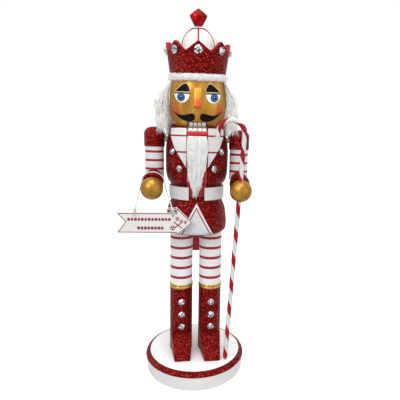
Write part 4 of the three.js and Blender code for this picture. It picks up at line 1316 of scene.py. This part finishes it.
signSetup = {
    "outline": [(-77.8, 183.7), (-69.7, 174.7), (-77.8, 163.7), (-19.9, 163.6), (-19.3, 160.9),
                (-3.7, 173.9), (-19.7, 189.9), (-20.1, 183.9)],
    "border": 0.3, "lineWidth": 0.8, "holes": [(-59.9, 181.4), (-23.0, 181.4)], "holeRadius": 1.2,
    "cord": 0.6,
    "rows": [(177.4, -66.0, -26.5, 13, 1.9), (168.7, -56.5, -33.5, 8, 2.0)],
    "sweets": [(-18.6, 178.2, 1.9), (-14.6, 175.8, 1.5), (-10.8, 174.6, 1.6), (-23.4, 169.0, 2.2)],
}
signRoute = [(-59.9, -39.95, 181.4), (-59.9, -39.95, 184.5), (-59.7, -39.3, 188), (-58.6, -34.5, 195.1),
             (-57.2, -28.8, 203), (-56, -24.2, 209.5), (-54.9, -22.4, 214.5), (-53.7, -23.8, 217.9),
             (-49.6, -25.3, 221.7), (-43.9, -25.8, 223.1), (-38.2, -25.3, 221.7), (-34.1, -23.8, 217.9),
             (-32.9, -22.4, 214.5), (-31.8, -24.2, 209.5), (-29.7, -28.8, 203), (-26.6, -34.5, 195.1),
             (-23.4, -39.3, 188), (-23, -39.95, 184.5), (-23, -39.95, 181.4)]


def makeSign():
    size = signSetup
    low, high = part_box("sign_board")
    front, back = low.y / mm, high.y / mm
    white = plainPaint("signWhite", (0.70, 0.69, 0.685), 0.4, mottled=0.03)
    red = plainPaint("signRed", (0.21, 0.016, 0.02), 0.5)
    bm = bmesh.new()
    face = bm.faces.new([bm.verts.new((x * mm, front * mm, z * mm)) for x, z in size["outline"]])
    bm.normal_update()
    rim = {"faces": [face], "use_even_offset": True, "use_boundary": True}
    bmesh.ops.inset_region(bm, thickness=size["border"] * mm, **rim)
    line = bmesh.ops.inset_region(bm, thickness=size["lineWidth"] * mm, **rim)["faces"]
    for strip in line:
        strip.material_index = 1
    made = bmesh.ops.extrude_edge_only(bm, edges=[e for e in bm.edges if e.is_boundary])
    bmesh.ops.translate(bm, vec=(0, (back - front) * mm, 0), verts=vertsOf(made["geom"]))
    bmesh.ops.holes_fill(bm, edges=[e for e in bm.edges if e.is_boundary])
    bmesh.ops.recalc_face_normals(bm, faces=bm.faces)
    board = makeObject("sign_board_arrow", bm, [white, red], 20)
    across = Matrix.Rotation(math.pi / 2, 4, "X")
    holes = [drill(size["holeRadius"], 12, 20, Matrix.Translation((x * mm, front * mm, z * mm)) @ across)
             for x, z in size["holes"]]
    cutAway(board, *holes, smooth=20)
    settle(board, "hanging_sign", "white_paint", "sign_board")
    makeMotifs(front, red)


def flatShape(bm, outline, front, depth=0.25):
    face = bm.faces.new([bm.verts.new((x * mm, (front - 0.01) * mm, z * mm)) for x, z in outline])
    thicken(bm, face, (0, -depth * mm, 0))


def makeMotifs(front, red):
    # rows of sweets: lozenges and drops, no lettering
    bm = bmesh.new()
    for z, x0, x1, count, size in signSetup["rows"]:
        for i in range(count):
            x = x0 + (x1 - x0) * i / (count - 1)
            sides = 4 if i % 2 else 12
            height = size if sides == 4 else size * 0.78
            width = size * 0.72 if sides == 4 else size * 0.78
            flatShape(bm,
                      [(x + width * math.sin(2 * math.pi * k / sides),
                        z + height * math.cos(2 * math.pi * k / sides)) for k in range(sides)], front)
    bmesh.ops.recalc_face_normals(bm, faces=bm.faces)
    settle(makeObject("sign_sweets", bm, red, 20), "hanging_sign", "red_paint")
    leaf = bmesh.new()
    for angle in (38, 142):                          # two crossed sticks
        a = math.radians(angle)
        u, w = Vector((math.cos(a), math.sin(a))), Vector((-math.sin(a), math.cos(a))) * 0.45
        ends = [Vector((-18.0, 171.6)) + u * reach + w * k
                for reach, k in ((-5, -1), (5.2, -1), (5.2, 1), (-5, 1))]
        flatShape(leaf, [tuple(p) for p in ends], front, 0.2)
    for x, z, r in signSetup["sweets"]:
        flatShape(leaf, disc((x, z), r, 16), front, 0.3)
    bmesh.ops.recalc_face_normals(leaf, faces=leaf.faces)
    settle(makeObject("sign_sprig", leaf, red, 20), "hanging_sign", "red_paint")
    pale = plainPaint("sweetWhite", (0.85, 0.82, 0.80), 0.4, mottled=0.03)
    dots = bmesh.new()
    for x, z, r in signSetup["sweets"]:
        for k in range(3):
            turn = 2 * math.pi * k / 3 + x
            flatShape(dots, disc((x + 0.5 * r * math.cos(turn), z + 0.5 * r * math.sin(turn)), 0.27 * r,
                                 8), front, 0.4)
    bmesh.ops.recalc_face_normals(dots, faces=dots.faces)
    settle(makeObject("sign_sweet_swirls", dots, pale, 20), "hanging_sign", "white_paint")

bowLoop = [(0, 0, 0), (1.6, -0.5, 1.4), (3.6, -0.9, 1.5), (4.2, -0.8, 0.2), (2.6, -0.5, -0.5),
           (0.2, -0.2, 0)]
bowTail = [(0, 0, 0), (1.0, -0.6, -1.6), (2.4, -0.8, -3.0), (3.2, -0.7, -4.6)]


def makeString():
    white = plainPaint("stringWhite", (0.66, 0.63, 0.58), 0.85, mottled=0.3, scale=1500)
    data = curveData("sign_string", signSetup["cord"], 3)
    spline = data.splines.new("NURBS")
    spline.points.add(len(signRoute) - 1)
    for point, place in zip(spline.points, signRoute):
        point.co = (*(Vector(place) * mm), 1)
    spline.order_u = 3
    spline.use_endpoint_u = True
    spline.resolution_u = 6
    data.materials.append(white)
    string = linkObject("sign_string", data)
    settle(string, "hanging_sign", "white_string", "sign_cord")
    lines = []
    for (x, z), (kx, ky, kz) in zip(signSetup["holes"], (signRoute[2], signRoute[-3])):
        for side in (-1, 1):
            lines.append([((kx + side * a, ky - 0.9 + b, kz + c), 0.5) for a, b, c in bowLoop])
            lines.append([((kx + side * a * 0.8, ky - 0.9 + b, kz + c), 0.48) for a, b, c in bowTail])
        lines.append([((kx - 0.6, ky - 1.1, kz + 0.5), 0.7), ((kx, ky - 1.5, kz), 1.0),
                      ((kx + 0.6, ky - 1.1, kz - 0.5), 0.7)])
        lines.append([((x, -39.9, z), 0.55), ((x, -37.5, z - 0.1), 0.55), ((x, -35.6, z + 0.3), 0.55),
                      ((x, -35.2, z + 2.6), 0.55), ((x, -36.5, z + 4.4), 0.55), ((kx, ky, kz), 0.55)])
    knots = tubeMesh("sign_bows", lines, white, 2)
    settle(knots, "hanging_sign", "white_string")


makeSign()
makeString()
print("sign and string made")

for node, material in (("pivot_pin", brightMetal("pinSteel", (0.6, 0.6, 0.6), 0.3)),
                       ("arm_dowel_left", bareWood()), ("arm_dowel_right", bareWood("bareWoodRight"))):
    part = frame["nodes"][node]
    part.data.materials.clear()
    part.data.materials.append(material)
